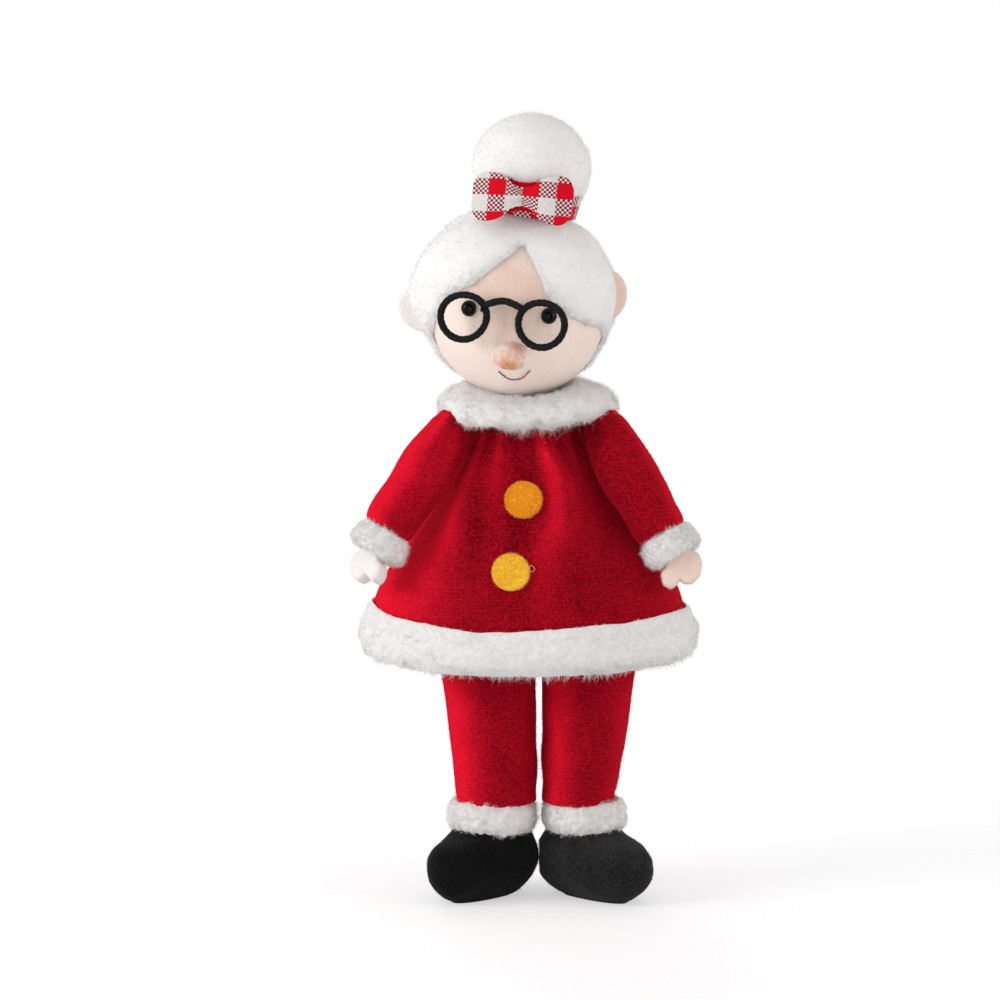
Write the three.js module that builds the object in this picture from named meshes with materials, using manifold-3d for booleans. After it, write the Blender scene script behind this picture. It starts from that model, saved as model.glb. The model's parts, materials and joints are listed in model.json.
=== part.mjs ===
// A stuffed cloth granny doll in a red fleece coat, standing on two felt boots.
// Millimetres, +Z up, origin on the floor in the middle of the box, the face towards -Y.
// "left" and "right" are the doll's own: its left side is +X.

import * as THREE from 'three';
import Module from 'manifold-3d';
import { mergeVertices } from 'three/addons/utils/BufferGeometryUtils.js';

// Clearance between pieces that touch, and the thickness of each cloth
const seat = 0.3;
const fleeceWall = 1.4;
const jerseyWall = 0.7;
const feltWall = 1.1;
const pileWall = 1.7;

// Legs: both hinge at the hips and keep to their own side of one upright plane
const legPlaneX = 2.3;
const legGap = 1.1;
const hipHeight = 52.5;
const legDepth = 17.4;
const ankleDepth = 15.6;
const ankleTop = 19.4;
const ankleTrimHeight = 6.0;
const ankleLip = 0.2;
const bootHeight = 17.2;
const bootInstep = 12.5;
const bootLength = 27.1;
const bootHeel = 10.2;
const bootBreadth = 18.2;
const bootBulgeUp = 7.0;
const toeOut = 42;
const rightLeg = { side: -1, hipWidth: 19.6, ankleWidth: 16.2, trimWidth: 17.8 };
const leftLeg = { side: 1, hipWidth: 18.2, ankleWidth: 15.0, trimWidth: 17.0 };

// Torso and coat: half sizes of the coat's outside at the neck, the chest, the waist and the hem
const coatNeckHeight = 94.4;
const coatHemHeight = 49.0;
const coatLevels = [
  { height: coatHemHeight, halfWidth: 31.4, halfDepth: 19.6 },
  { height: 57.0, halfWidth: 31.6, halfDepth: 19.8 },
  { height: 62.0, halfWidth: 30.4, halfDepth: 19.4 },
  { height: 67.0, halfWidth: 27.6, halfDepth: 18.2 },
  { height: 73.0, halfWidth: 23.2, halfDepth: 16.4 },
  { height: 80.0, halfWidth: 18.4, halfDepth: 14.2 },
  { height: 87.0, halfWidth: 14.4, halfDepth: 11.8 },
  { height: coatNeckHeight, halfWidth: 11.0, halfDepth: 9.4 },
];
const bodyBottom = 62.0;
const stuffingEase = 0.5;
const stuffingRound = 2.0;
const bodyNeckHeight = 94.9;
const hemTrimBottom = 47.4;
const hemTrimHeight = 9.4;
const hemTrimWall = 2.9;
const hemTrimRound = 1.4;
const hemSideRise = 2.8;

// Neck, collar and head ball
const neckRadius = 4.6;
const collarHalfWidth = 14.4;
const collarHalfDepth = 12.0;
const collarHeight = 100.4;
const collarPile = 3.5;
const collarFrontDrop = 2.3;
const headCentre = new THREE.Vector3(-2.0, 0.5, 118.5);
const headRadius = 17.5;
const headRoll = 5.5;
const headYaw = -6;
const neckOpening = 24;
const facetSag = 0.15;

// Face, in the head's own frame: across, and up from the middle of the ball
const eyeSpacing = 15.6;
const eyeLevel = 0.3;
const eyeDiameter = 3.2;
const noseCentre = { across: 0.8, up: -8.0 };
const noseDiameter = 5.2;
const smile = [[-1.3, -11.4], [1.6, -12.7], [4.6, -10.6]];
const smileThread = 0.4;
const ringDiameter = 10.0;
const ringSpacing = 15.2;
const ringLevel = -1.3;
const glassesAcross = -1.0;
const glassesWire = 1.2;
const bridgeRise = 3.9;
const glassesStandOff = 1.9;
const earRadius = 4.8;
const earFelt = 1.6;
const rightEar = { side: -1, reach: 6.2, level: -1.6 };
const leftEar = { side: 1, reach: 3.8, level: 4.6 };

// Hair: a thick cap in three pieces, with the face's opening and the parting in front
const hairHalfWidth = 21.2;
const hairHalfDepth = 20.8;
const hairHalfHeight = 21.2;
const hairAcross = -0.9;
const hairSplitY = -1.0;
const hairFrontBottom = { right: -6.4, left: -1.6 };
const hairBackBottom = -9.4;
const faceOpening = [
  [1.3, 13.9], [-3.4, 8.8], [-6.6, 5.9], [-11.2, 3.4], [-14.2, -0.6], [-15.4, -8.0],
  [-15.4, -22.0], [24.0, -22.0], [24.0, -1.6], [12.9, -0.9], [10.7, 0.9], [6.8, 4.2], [4.5, 7.0],
];

// Bun, its band and the bow
const bunRadius = 11.7;
const bunHeight = 10.9;
const bunCentreUp = 28.0;
const bunBaseRadius = 8.6;
const bunBaseUp = 20.5;
const bandUp = 20.9;
const bandHeight = 2.4;
const bandWall = 0.7;
const bowUp = 22.9;
const bowWidth = 19.4;
const bowLoopHeight = 10.2;
const bowPinchHeight = 5.0;
const bowThickness = 2.6;
const bowStandOff = 13.1;

// Arms: each turns about its sewn shoulder, and leans out just as far as the coat under it makes it
const rightArm = { side: -1, shoulderUp: 93.0, sleeveLength: 21.6, standOff: 0.5, handTurn: 62 };
const leftArm = { side: 1, shoulderUp: 93.2, sleeveLength: 21.6, standOff: 0.3, handTurn: 22 };
const armForward = 2;
const shoulderTurn = 20;
const leanStep = 0.25;
const shoulderRadius = 3.7;
const sleeveRadius = 5.3;
const tackRadius = 1.5;
const tackLength = 0.8;
const cuffWidth = 13.2;
const cuffHeight = 6.0;
const wristRadius = 2.6;
const handThickness = 2.8;
const handBend = 0.3;
const handOutline = [
  [-2.3, 6.5], [-2.5, -0.3], [-4.0, -1.0], [-4.1, -3.0], [-3.0, -4.3], [-1.6, -3.8], [-0.7, -3.1],
  [-0.1, -4.6], [1.3, -5.4], [3.1, -5.0], [4.2, -2.9], [3.8, -1.0], [2.5, -0.3], [2.3, 6.5],
];

// Buttons, at the height of their middles on the front of the coat
const buttonDiameter = 7.4;
const topButton = { across: -1.0, height: 82.0 };
const bottomButton = { across: -3.5, height: 68.3 };

const degrees = Math.PI / 180;
const wasm = await Module();
wasm.setup();

const cloth = {
  redFleece: paint('#b40f22', 0.95),
  whitePile: paint('#f0eeea', 0.98),
  whiteHair: paint('#f4f2ee', 0.97),
  skinJersey: paint('#e9cdbb', 0.9),
  skinFelt: paint('#ecd0c0', 0.95),
  blackFelt: paint('#17171a', 0.95),
  yellowFelt: paint('#eba733', 0.93),
  gingham: paint('#d8485a', 0.85),
  stuffing: paint('#e8e4da', 1.0),
  blackThread: paint('#101012', 0.55),
  blackBead: paint('#120c0e', 0.08),
  pinkThread: paint('#a8465a', 0.7),
  redThread: paint('#8e1020', 0.8),
};

function paint(color, roughness) {
  return new THREE.MeshStandardMaterial({ color, roughness, metalness: 0 });
}

function mesh(name, geometry, material) {
  const result = new THREE.Mesh(geometry, material);
  result.name = name;
  return result;
}

/** A body of revolution about +Z. Points are [radius, height], the outside from bottom to top. */
function turned(points, sides) {
  const profile = points.map(([radius, height]) => new THREE.Vector2(radius, height));
  return new THREE.LatheGeometry(profile, sides).rotateX(Math.PI / 2);
}

/** A turned ring whose section closes on itself. */
function ring(points, sides) {
  return turned([...points, points[0]], sides);
}

/** Points on a circle or, with a height factor, an ellipse; degrees count from the bottom pole. */
function arc(radius, from, to, steps, heightFactor = 1) {
  return Array.from({ length: steps + 1 }, (_, index) => {
    const angle = (from + ((to - from) * index) / steps) * degrees;
    return [radius * Math.sin(angle), -radius * heightFactor * Math.cos(angle)];
  });
}

/** A smooth curve through [radius, height] points. */
function smooth(points, steps) {
  const curve = new THREE.SplineCurve(points.map(([radius, height]) => new THREE.Vector2(radius, height)));
  return curve.getPoints(steps).map(({ x, y }) => [x, y]);
}

/** Moves every vertex of a geometry to where the formula puts it. */
function reshape(geometry, formula) {
  const position = geometry.attributes.position;
  const point = new THREE.Vector3();
  for (let index = 0; index < position.count; index += 1) {
    point.fromBufferAttribute(position, index);
    formula(point);
    position.setXYZ(index, point.x, point.y, point.z);
  }
  return geometry;
}

/** A copy with its shared vertices merged, so that it is one closed skin. */
function welded(geometry) {
  const bare = geometry.clone();
  bare.deleteAttribute('normal');
  bare.deleteAttribute('uv');
  return mergeVertices(bare, 1e-4);
}

/** A solid for joining and cutting, from a closed geometry. */
function solidOf(geometry) {
  const skin = welded(geometry);
  return new wasm.Manifold(new wasm.Mesh({
    numProp: 3,
    vertProperties: skin.attributes.position.array,
    triVerts: skin.index.array,
  }));
}

/** The geometry of a solid. */
function geometryOf(solid) {
  const { vertProperties, triVerts, numProp } = solid.getMesh();
  const geometry = new THREE.BufferGeometry();
  const points = new Float32Array((vertProperties.length / numProp) * 3);
  for (let index = 0; index < points.length / 3; index += 1) {
    points.set(vertProperties.subarray(index * numProp, index * numProp + 3), index * 3);
  }
  geometry.setAttribute('position', new THREE.BufferAttribute(points, 3));
  geometry.setIndex(new THREE.BufferAttribute(triVerts, 1));
  return geometry;
}

/** A ball with its poles on the Z axis. */
function ball(radius, across, up) {
  return new THREE.SphereGeometry(radius, across, up).rotateX(Math.PI / 2);
}

/** An outline in X and Z, made solid along Y from the back to the front. */
function slab(outline, back, front) {
  const shape = new THREE.Shape(outline.map(([across, up]) => new THREE.Vector2(across, up)));
  const depth = back - front;
  return new THREE.ExtrudeGeometry(shape, { depth, bevelEnabled: false })
    .rotateX(Math.PI / 2)
    .translate(0, back, 0);
}

/** The value of one measure of the coat at a height, between the named levels. */
function coatMeasure(height, measure) {
  const levels = coatLevels;
  if (height <= levels[0].height) return levels[0][measure];
  const index = levels.findIndex((level) => level.height >= height);
  if (index < 0) return levels.at(-1)[measure];
  const [low, high] = [levels[index - 1], levels[index]];
  const share = (height - low.height) / (high.height - low.height);
  return THREE.MathUtils.lerp(low[measure], high[measure], share);
}

/** Squeezes a round body in depth to the coat's oval, level by level. */
function toCoatOval(point) {
  point.y *= coatMeasure(point.z, 'halfDepth') / coatMeasure(point.z, 'halfWidth');
}

function coat() {
  const outside = coatLevels.map(({ height, halfWidth }) => [halfWidth, height]);
  const inside = outside.map(([radius, height]) => [radius - fleeceWall, height]).reverse();
  return reshape(ring([...outside, ...inside], 30), toCoatOval);
}

function bodyStuffing() {
  const inset = fleeceWall + seat + stuffingEase;
  const side = coatLevels
    .filter(({ height }) => height > bodyBottom + stuffingRound && height < coatNeckHeight)
    .map(({ height, halfWidth }) => [halfWidth - inset, height]);
  const shoulder = coatMeasure(coatNeckHeight, 'halfWidth') - inset;
  const bottom = coatMeasure(bodyBottom, 'halfWidth') - inset - stuffingRound;
  const profile = [[0, bodyBottom], [bottom, bodyBottom], ...side, [shoulder, bodyNeckHeight], [0, bodyNeckHeight]];
  return reshape(turned(profile, 22), toCoatOval);
}

function hemTrim() {
  const middle = hemTrimBottom + hemTrimHeight / 2;
  const inner = (height) => coatMeasure(height, 'halfWidth') + seat;
  const top = hemTrimBottom + hemTrimHeight;
  const outer = inner(middle) + hemTrimWall;
  const section = [
    [inner(top), top],
    [inner(middle), middle],
    [inner(coatHemHeight), coatHemHeight],
    [inner(coatHemHeight), hemTrimBottom + hemTrimRound / 2],
    [inner(coatHemHeight) + hemTrimWall / 2, hemTrimBottom],
    [outer - hemTrimRound / 3, hemTrimBottom + hemTrimRound],
    [outer, middle - hemTrimRound / 2],
    [outer - hemTrimRound / 2, top - hemTrimRound],
    [inner(top) + hemTrimWall - hemTrimRound, top],
  ];
  return reshape(ring(section, 32), (point) => {
    toCoatOval(point);
    const share = THREE.MathUtils.clamp((point.z - middle) / (top - middle), 0, 1);
    point.z += hemSideRise * share * (point.x / coatLevels[0].halfWidth) ** 2;
  });
}

function collar() {
  const tube = new THREE.TorusGeometry(collarHalfWidth, collarPile, 9, 28);
  return reshape(tube, (point) => {
    const angle = Math.atan2(point.y, point.x);
    const front = Math.max(0, -Math.sin(angle));
    point.y += (collarHalfDepth - collarHalfWidth) * Math.sin(angle);
    point.z += collarHeight - collarFrontDrop * front ** 2;
  });
}

function button({ across, height }) {
  const disc = new THREE.CylinderGeometry(buttonDiameter / 2, buttonDiameter / 2, feltWall, 24);
  const depth = coatMeasure(height, 'halfDepth');
  const slope = Math.atan2(
    coatMeasure(height - buttonDiameter / 2, 'halfDepth') - coatMeasure(height + buttonDiameter / 2, 'halfDepth'),
    buttonDiameter,
  );
  const sag = depth * (across / coatMeasure(height, 'halfWidth')) ** 2 * 0.5;
  return disc
    .rotateX(-slope)
    .rotateZ(across * 0.5 * degrees)
    .translate(across, -(depth - sag + seat + feltWall / 2), height);
}

function neckStub() {
  const top = headCentre.z - headRadius - seat;
  const bottom = bodyNeckHeight + seat;
  return turned([[0, bottom], [neckRadius, bottom], [neckRadius - 0.6, top], [0, top]], 16)
    .translate(headCentre.x / 2, 0, 0);
}

/** The jersey ball of the face: a shell with the neck's opening at the bottom. */
function faceCover() {
  const outside = arc(headRadius, neckOpening, 180, 11);
  const inside = arc(headRadius - jerseyWall, 180, neckOpening, 11);
  return ring([...outside, ...inside], 24);
}

function headStuffing() {
  return turned(arc(headRadius - jerseyWall - seat, 0, 180, 10), 18);
}

/** The depth of the head ball's front at a place on the face. */
function faceDepth(across, up, radius = headRadius) {
  return -Math.sqrt(radius ** 2 - across ** 2 - up ** 2);
}

/** A dome with a flat back, standing on the face and pointing straight out of it. */
function dome(across, up, diameter, heightFactor) {
  const radius = diameter / 2;
  const cap = turned([[0, 0], ...arc(radius, 78, 180, 4, heightFactor).map(([r, h]) => [r, h + 0.2 * radius])], 12);
  const out = new THREE.Vector3(across, faceDepth(across, up), up).normalize();
  const turn = new THREE.Quaternion().setFromUnitVectors(new THREE.Vector3(0, 0, 1), out);
  const foot = out.multiplyScalar(headRadius + seat);
  return cap.applyQuaternion(turn).translate(foot.x, foot.y, foot.z);
}

function smileStitch() {
  const bow = new THREE.CatmullRomCurve3(smile.map(([across, up]) => (
    new THREE.Vector3(across, faceDepth(across, up, headRadius + seat + smileThread / 2), up)
  )));
  return tubeAlong(bow, smileThread / 2, 6, 10);
}

/** A round tube along a curve, with closed ends. */
function tubeAlong(curve, radius, sides, steps) {
  const section = new THREE.Shape(Array.from({ length: sides }, (_, index) => {
    const angle = (index / sides) * 2 * Math.PI;
    return new THREE.Vector2(radius * Math.cos(angle), radius * Math.sin(angle));
  }));
  return new THREE.ExtrudeGeometry(section, { steps, extrudePath: curve });
}

/** Two bound rings in one plane in front of the eyes, joined by an arched bridge. */
function glasses() {
  const wire = glassesWire / 2;
  const centreLine = ringDiameter / 2 - wire;
  const level = -(headRadius + glassesStandOff);
  const rings = [-1, 1].map((side) => new THREE.TorusGeometry(centreLine, wire, 6, 22)
    .rotateX(Math.PI / 2)
    .translate(glassesAcross + (side * ringSpacing) / 2, level, ringLevel));
  const foot = centreLine * 0.72;
  const bridge = new THREE.CatmullRomCurve3([-1, -0.5, 0, 0.5, 1].map((share) => new THREE.Vector3(
    glassesAcross + share * (ringSpacing / 2 - foot),
    level,
    ringLevel + centreLine * 0.62 + (bridgeRise - centreLine * 0.62) * (1 - share ** 2),
  )));
  const solid = solidOf(rings[0]).add(solidOf(rings[1])).add(solidOf(tubeAlong(bridge, wire * 0.95, 6, 8)));
  return geometryOf(solid);
}

/** The outline of a felt ear, a half disc at the side of the head, with a margin around it. */
function earOutline({ reach, level }, margin) {
  const root = headRadius - 1.2;
  const rim = Array.from({ length: 9 }, (_, index) => {
    const angle = (-90 + (180 * index) / 8) * degrees;
    return [
      headRadius + (reach + margin) * Math.cos(angle),
      level + (earRadius + margin) * Math.sin(angle),
    ];
  });
  return [[root, level - earRadius - margin], ...rim, [root, level + earRadius + margin]];
}

/** An ear's slab, thicker and larger by a margin, on its own side of the head. */
function earSlab(which, margin) {
  const half = earFelt / 2 + margin;
  const shape = slab(earOutline(which, margin), hairSplitY + half, hairSplitY - half);
  return solidOf(which.side > 0 ? shape : mirrored(shape));
}

function ear(which) {
  return geometryOf(earSlab(which, 0).subtract(solidOf(ball(headRadius + seat + facetSag, 24, 16))));
}

/** The mirror image in X, with its faces turned to point outwards again. */
function mirrored(geometry) {
  const skin = reshape(welded(geometry), (point) => {
    point.x = -point.x;
  });
  skin.setIndex(Array.from(skin.index.array).reverse());
  return skin;
}

/** The hair cap, cut into the two front curtains and the back. */
function hair() {
  const outside = reshape(ball(1, 26, 16), (point) => {
    point.set(
      point.x * hairHalfWidth + hairAcross,
      point.y * hairHalfDepth,
      point.z * hairHalfHeight,
    );
  });
  const far = hairHalfWidth * 2;
  const cap = solidOf(outside)
    .subtract(solidOf(ball(headRadius + seat + facetSag, 24, 16)))
    .subtract(earSlab(rightEar, seat))
    .subtract(earSlab(leftEar, seat));
  const slice = (low, high, bottom) => solidOf(new THREE.BoxGeometry(high[0] - low[0], high[1] - low[1], far * 2)
    .translate((low[0] + high[0]) / 2, (low[1] + high[1]) / 2, far + bottom));
  const half = seat / 2;
  const front = cap.subtract(solidOf(slab(faceOpening, hairSplitY - half, -far)));
  const parting = faceOpening[0][0];
  return {
    right: geometryOf(front.intersect(
      slice([-far, -far], [parting - half, hairSplitY - half], hairFrontBottom.right),
    )),
    left: geometryOf(front.intersect(
      slice([parting + half, -far], [far, hairSplitY - half], hairFrontBottom.left),
    )),
    back: geometryOf(cap.intersect(
      slice([-far, hairSplitY + half], [far, far], hairBackBottom),
    )),
  };
}

/** The bun's outside from its base to its top, smaller by an inset. */
function bunProfile(inset) {
  const factor = (bunHeight - inset) / (bunRadius - inset);
  return [
    [bunBaseRadius - inset, bunBaseUp],
    ...arc(bunRadius - inset, 64, 180, 7, factor).map(([radius, up]) => [radius, up + bunCentreUp]),
  ];
}

function bunCover() {
  return ring([...bunProfile(0), ...bunProfile(fleeceWall).reverse()], 20);
}

function bunStuffing() {
  const inset = fleeceWall + seat;
  const bottom = hairHalfHeight + seat;
  const profile = bunProfile(inset).filter(([, up]) => up > bottom + 0.5);
  return turned([[0, bottom], [bunBaseRadius - inset, bottom], ...profile], 16);
}

function bunBand() {
  const foot = bunBaseRadius + 1.0;
  const top = bunBaseRadius + 2.1;
  return ring([
    [foot, bandUp], [foot + bandWall, bandUp],
    [top + bandWall, bandUp + bandHeight], [top, bandUp + bandHeight],
  ], 24);
}

/** The bow: two flat loops that narrow to the pinch between them. */
function bow() {
  const [reach, loop, pinch] = [bowWidth / 2, bowLoopHeight / 2, bowPinchHeight / 2];
  const quarter = smooth([[0.3, pinch], [reach * 0.35, pinch * 1.15], [reach * 0.8, loop], [reach, loop * 0.72]], 7);
  const tip = [reach * 0.93, 0];
  const rightSide = [...quarter, tip, ...quarter.map(([across, up]) => [across, -up]).reverse()];
  const outline = [...rightSide, ...rightSide.map(([across, up]) => [-across, up]).reverse()]
    .filter((point, index, all) => index === 0 || Math.hypot(point[0] - all[index - 1][0], point[1] - all[index - 1][1]) > 0.05)
    .reverse();
  const half = bowThickness / 2;
  return reshape(slab(outline, half, -half), (point) => {
    point.y *= 0.45 + 0.55 * Math.min(1, Math.abs(point.x) / (reach * 0.7));
  }).translate(0, -bowStandOff, bowUp);
}

/** The head in its own frame: the ball's middle is the origin. */
function head() {
  const upright = new THREE.Group();
  upright.position.copy(headCentre);
  upright.rotation.y = headRoll * degrees;
  const facing = new THREE.Group();
  facing.rotation.z = headYaw * degrees;
  upright.add(facing);
  const { right, left, back } = hair();
  facing.add(
    mesh('head_stuffing', headStuffing(), cloth.stuffing),
    mesh('face_cover', faceCover(), cloth.skinJersey),
    mesh('nose', dome(noseCentre.across, noseCentre.up, noseDiameter, 0.9), cloth.skinJersey),
    mesh('right_eye_bead', dome(-eyeSpacing / 2, eyeLevel, eyeDiameter, 1), cloth.blackBead),
    mesh('left_eye_bead', dome(eyeSpacing / 2, eyeLevel, eyeDiameter, 1), cloth.blackBead),
    mesh('smile_stitch', smileStitch(), cloth.pinkThread),
    mesh('glasses_frame', glasses(), cloth.blackThread),
    mesh('right_ear', ear(rightEar), cloth.skinFelt),
    mesh('left_ear', ear(leftEar), cloth.skinFelt),
    mesh('right_front_hair', right, cloth.whiteHair),
    mesh('left_front_hair', left, cloth.whiteHair),
    mesh('back_hair', back, cloth.whiteHair),
    mesh('bun_stuffing', bunStuffing(), cloth.stuffing),
    mesh('bun_cover', bunCover(), cloth.whiteHair),
    mesh('bun_band', bunBand(), cloth.gingham),
    mesh('bow', bow(), cloth.gingham),
  );
  return upright;
}

/** The sleeve's outside below the shoulder's round top, as [radius, height under the pivot]. */
function sleeveSide(length) {
  return smooth([
    [sleeveRadius - 0.5, -length],
    [sleeveRadius, -length * 0.8],
    [sleeveRadius * 0.92, -length * 0.4],
    [shoulderRadius, 0],
  ], 5);
}

function sleeve(length) {
  const cap = arc(shoulderRadius, 90, 180, 3).slice(1);
  const inside = [...sleeveSide(length), ...cap]
    .map(([radius, height]) => [Math.max(radius - fleeceWall, 0), Math.min(height, shoulderRadius - fleeceWall)])
    .filter(([radius], index, all) => radius > 0 || index === all.length - 1);
  return turned([...inside.slice().reverse(), ...sleeveSide(length), ...cap], 16);
}

function armStuffing(length) {
  const inset = fleeceWall + seat;
  const side = sleeveSide(length).map(([radius, height]) => [radius - inset, height]);
  const top = shoulderRadius - fleeceWall - seat;
  return turned([[0, -length + 0.6], [side[0][0], -length + 0.6], ...side.slice(1, -1), [top * 0.7, 0], [0, top * 0.6]], 12);
}

function cuff(length) {
  const inner = wristRadius + seat;
  const outer = cuffWidth / 2;
  const top = -length - seat;
  return ring([
    [inner, top - cuffHeight * 0.9],
    [outer - 1.6, top - cuffHeight],
    [outer - 0.2, top - cuffHeight * 0.72],
    [outer, top - cuffHeight * 0.4],
    [outer - 0.9, top - 0.2],
    [sleeveRadius - 0.9, top],
    [inner, top],
  ], 18);
}

/** A felt mitten with a thumb towards the coat and a wrist that fills the cuff. */
function hand({ side, sleeveLength: length, handTurn }) {
  const half = handThickness / 2;
  const wristTop = -length - 2 * seat;
  const palm = slab(
    handOutline.map(([across, up]) => [across, up - length - cuffHeight - seat]).reverse(),
    half,
    -half,
  );
  const solid = solidOf(palm).intersect(solidOf(new THREE.BoxGeometry(30, 30, 40).translate(0, 0, wristTop - 20)));
  const wristBottom = -length - cuffHeight - 2 * seat;
  const shape = reshape(geometryOf(solid).rotateZ(handTurn * degrees), (point) => {
    point.x -= handBend * Math.max(0, wristBottom - point.z);
  });
  return side > 0 ? shape : mirrored(shape);
}

/** How far the coat reaches at an arm's tack, in the direction in which the shoulder faces. */
function coatReach({ shoulderUp }) {
  const widestUp = shoulderUp - tackRadius;
  const turn = shoulderTurn * degrees;
  return 1 / Math.hypot(
    Math.cos(turn) / coatMeasure(widestUp, 'halfWidth'),
    Math.sin(turn) / coatMeasure(widestUp, 'halfDepth'),
  );
}

/** A point at a distance from the body's middle line, straight out towards a shoulder. */
function towardsShoulder({ side, shoulderUp }, distance) {
  const turn = shoulderTurn * degrees;
  return new THREE.Vector3(side * distance * Math.cos(turn), -distance * Math.sin(turn), shoulderUp);
}

/** The middle of the round shoulder, outside the coat by the tack and a clearance at each of its ends. */
function shoulderPivot(limb) {
  return towardsShoulder(limb, coatReach(limb) + tackLength + 2 * seat + shoulderRadius);
}

function shoulderTack(limb) {
  const { x, y, z } = towardsShoulder(limb, coatReach(limb) + seat + tackLength / 2);
  return new THREE.CylinderGeometry(tackRadius, tackRadius, tackLength, 12)
    .rotateZ(Math.PI / 2)
    .rotateZ(-limb.side * shoulderTurn * degrees)
    .translate(x, y, z);
}

/** Whether a point lies outside the coat by a margin. */
function clearOfCoat({ x, y, z }, margin) {
  const across = x / (coatMeasure(z, 'halfWidth') + margin);
  const deep = y / (coatMeasure(z, 'halfDepth') + margin);
  return across ** 2 + deep ** 2 >= 1;
}

/** The turn of a hanging arm that leans out by an angle in degrees. */
function armTurn(side, lean) {
  return new THREE.Euler(-armForward * degrees, -side * lean * degrees, -side * shoulderTurn * degrees, 'ZXY');
}

/** The smallest lean, in degrees, at which no piece of the arm comes nearer to the coat than its stand-off. */
function armLean(limb, shapes) {
  const pivot = shoulderPivot(limb);
  const skin = shapes.map(welded);
  const point = new THREE.Vector3();
  const clears = (lean) => skin.every(({ attributes: { position } }) => (
    Array.from({ length: position.count }).every((_, index) => (
      clearOfCoat(point.fromBufferAttribute(position, index).applyEuler(armTurn(limb.side, lean)).add(pivot), limb.standOff)
    ))
  ));
  let lean = 0;
  while (lean < 90 && !clears(lean)) lean += leanStep;
  return lean;
}

function arm(limb) {
  const name = limb.side > 0 ? 'left' : 'right';
  const [sleeveShape, cuffShape, handShape] = [sleeve(limb.sleeveLength), cuff(limb.sleeveLength), hand(limb)];
  const hanging = new THREE.Group();
  hanging.position.copy(shoulderPivot(limb));
  hanging.setRotationFromEuler(armTurn(limb.side, armLean(limb, [sleeveShape, cuffShape, handShape])));
  hanging.add(
    mesh(`${name}_sleeve`, sleeveShape, cloth.redFleece),
    mesh(`${name}_arm_stuffing`, armStuffing(limb.sleeveLength), cloth.stuffing),
    mesh(`${name}_cuff_trim`, cuffShape, cloth.whitePile),
    mesh(`${name}_hand`, handShape, cloth.skinFelt),
  );
  const group = new THREE.Group();
  group.add(mesh(`${name}_shoulder_tack`, shoulderTack(limb), cloth.redThread), hanging);
  return group;
}

/** The middle of a leg at a height, so that its inner side keeps to the plane between the legs. */
function legMiddle({ side }, halfWidth) {
  return legPlaneX + side * (legGap / 2 + halfWidth);
}

/** The trouser leg's half width at a height, straight from hip to ankle. */
function legHalfWidth({ hipWidth, ankleWidth }, height) {
  const share = THREE.MathUtils.clamp((height - ankleTop) / (hipHeight - ankleTop), 0, 1);
  return THREE.MathUtils.lerp(ankleWidth, hipWidth, share) / 2;
}

/** The half width inside the ankle's trim, less a wall, for what ends or stands in it. */
function ankleInside({ trimWidth }, inset) {
  return trimWidth / 2 - pileWall - seat - inset;
}

/** Gives a turned leg its oval and its lean from the ankle to the hip. */
function toLegOval(leg) {
  return (point) => {
    if (point.z < ankleTop + 2 * ankleLip) {
      point.x += legMiddle(leg, leg.trimWidth / 2);
      return;
    }
    const share = THREE.MathUtils.clamp((point.z - ankleTop) / (hipHeight - ankleTop), 0, 1);
    const halfWidth = legHalfWidth(leg, point.z);
    const halfDepth = THREE.MathUtils.lerp(ankleDepth, legDepth, share) / 2;
    point.y *= halfDepth / halfWidth;
    point.x += legMiddle(leg, halfWidth);
  };
}

/** Outside of a leg, or of a layer inside it, from the bottom to the round top over the hip. */
function legSide(leg, bottom, inset) {
  const inTrim = [bottom, ankleTop + ankleLip].map((height) => [ankleInside(leg, inset), height]);
  const straight = [ankleTop + 1.6, (ankleTop + hipHeight) / 2, hipHeight]
    .map((height) => [legHalfWidth(leg, height) - inset, height]);
  const radius = legHalfWidth(leg, hipHeight) - inset;
  const over = arc(radius, 90, 180, 4, (legDepth / 2 - inset) / radius)
    .slice(1)
    .map(([r, h]) => [r, h + hipHeight]);
  return [...inTrim, ...straight, ...over];
}

function trouserLeg(leg) {
  const bottom = bootHeight + seat;
  const outside = legSide(leg, bottom, 0);
  const inside = legSide(leg, bottom, fleeceWall).reverse();
  return reshape(turned([...inside, ...outside], 18), toLegOval(leg));
}

function legStuffing(leg) {
  const bottom = bootHeight + seat;
  return reshape(turned([[0, bottom], ...legSide(leg, bottom, fleeceWall + seat)], 14), toLegOval(leg));
}

function ankleTrim(leg) {
  const outer = leg.trimWidth / 2;
  const inner = outer - pileWall;
  const bottom = ankleTop - ankleTrimHeight;
  const middle = ankleTop - ankleTrimHeight / 2;
  const section = [
    [inner, ankleTop], [inner, bottom], [outer - 0.8, bottom],
    [outer, middle - 1.6], [outer, middle + 1.6], [outer - 0.8, ankleTop],
  ];
  return ring(section, 20).translate(legMiddle(leg, outer), 0, 0);
}

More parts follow.
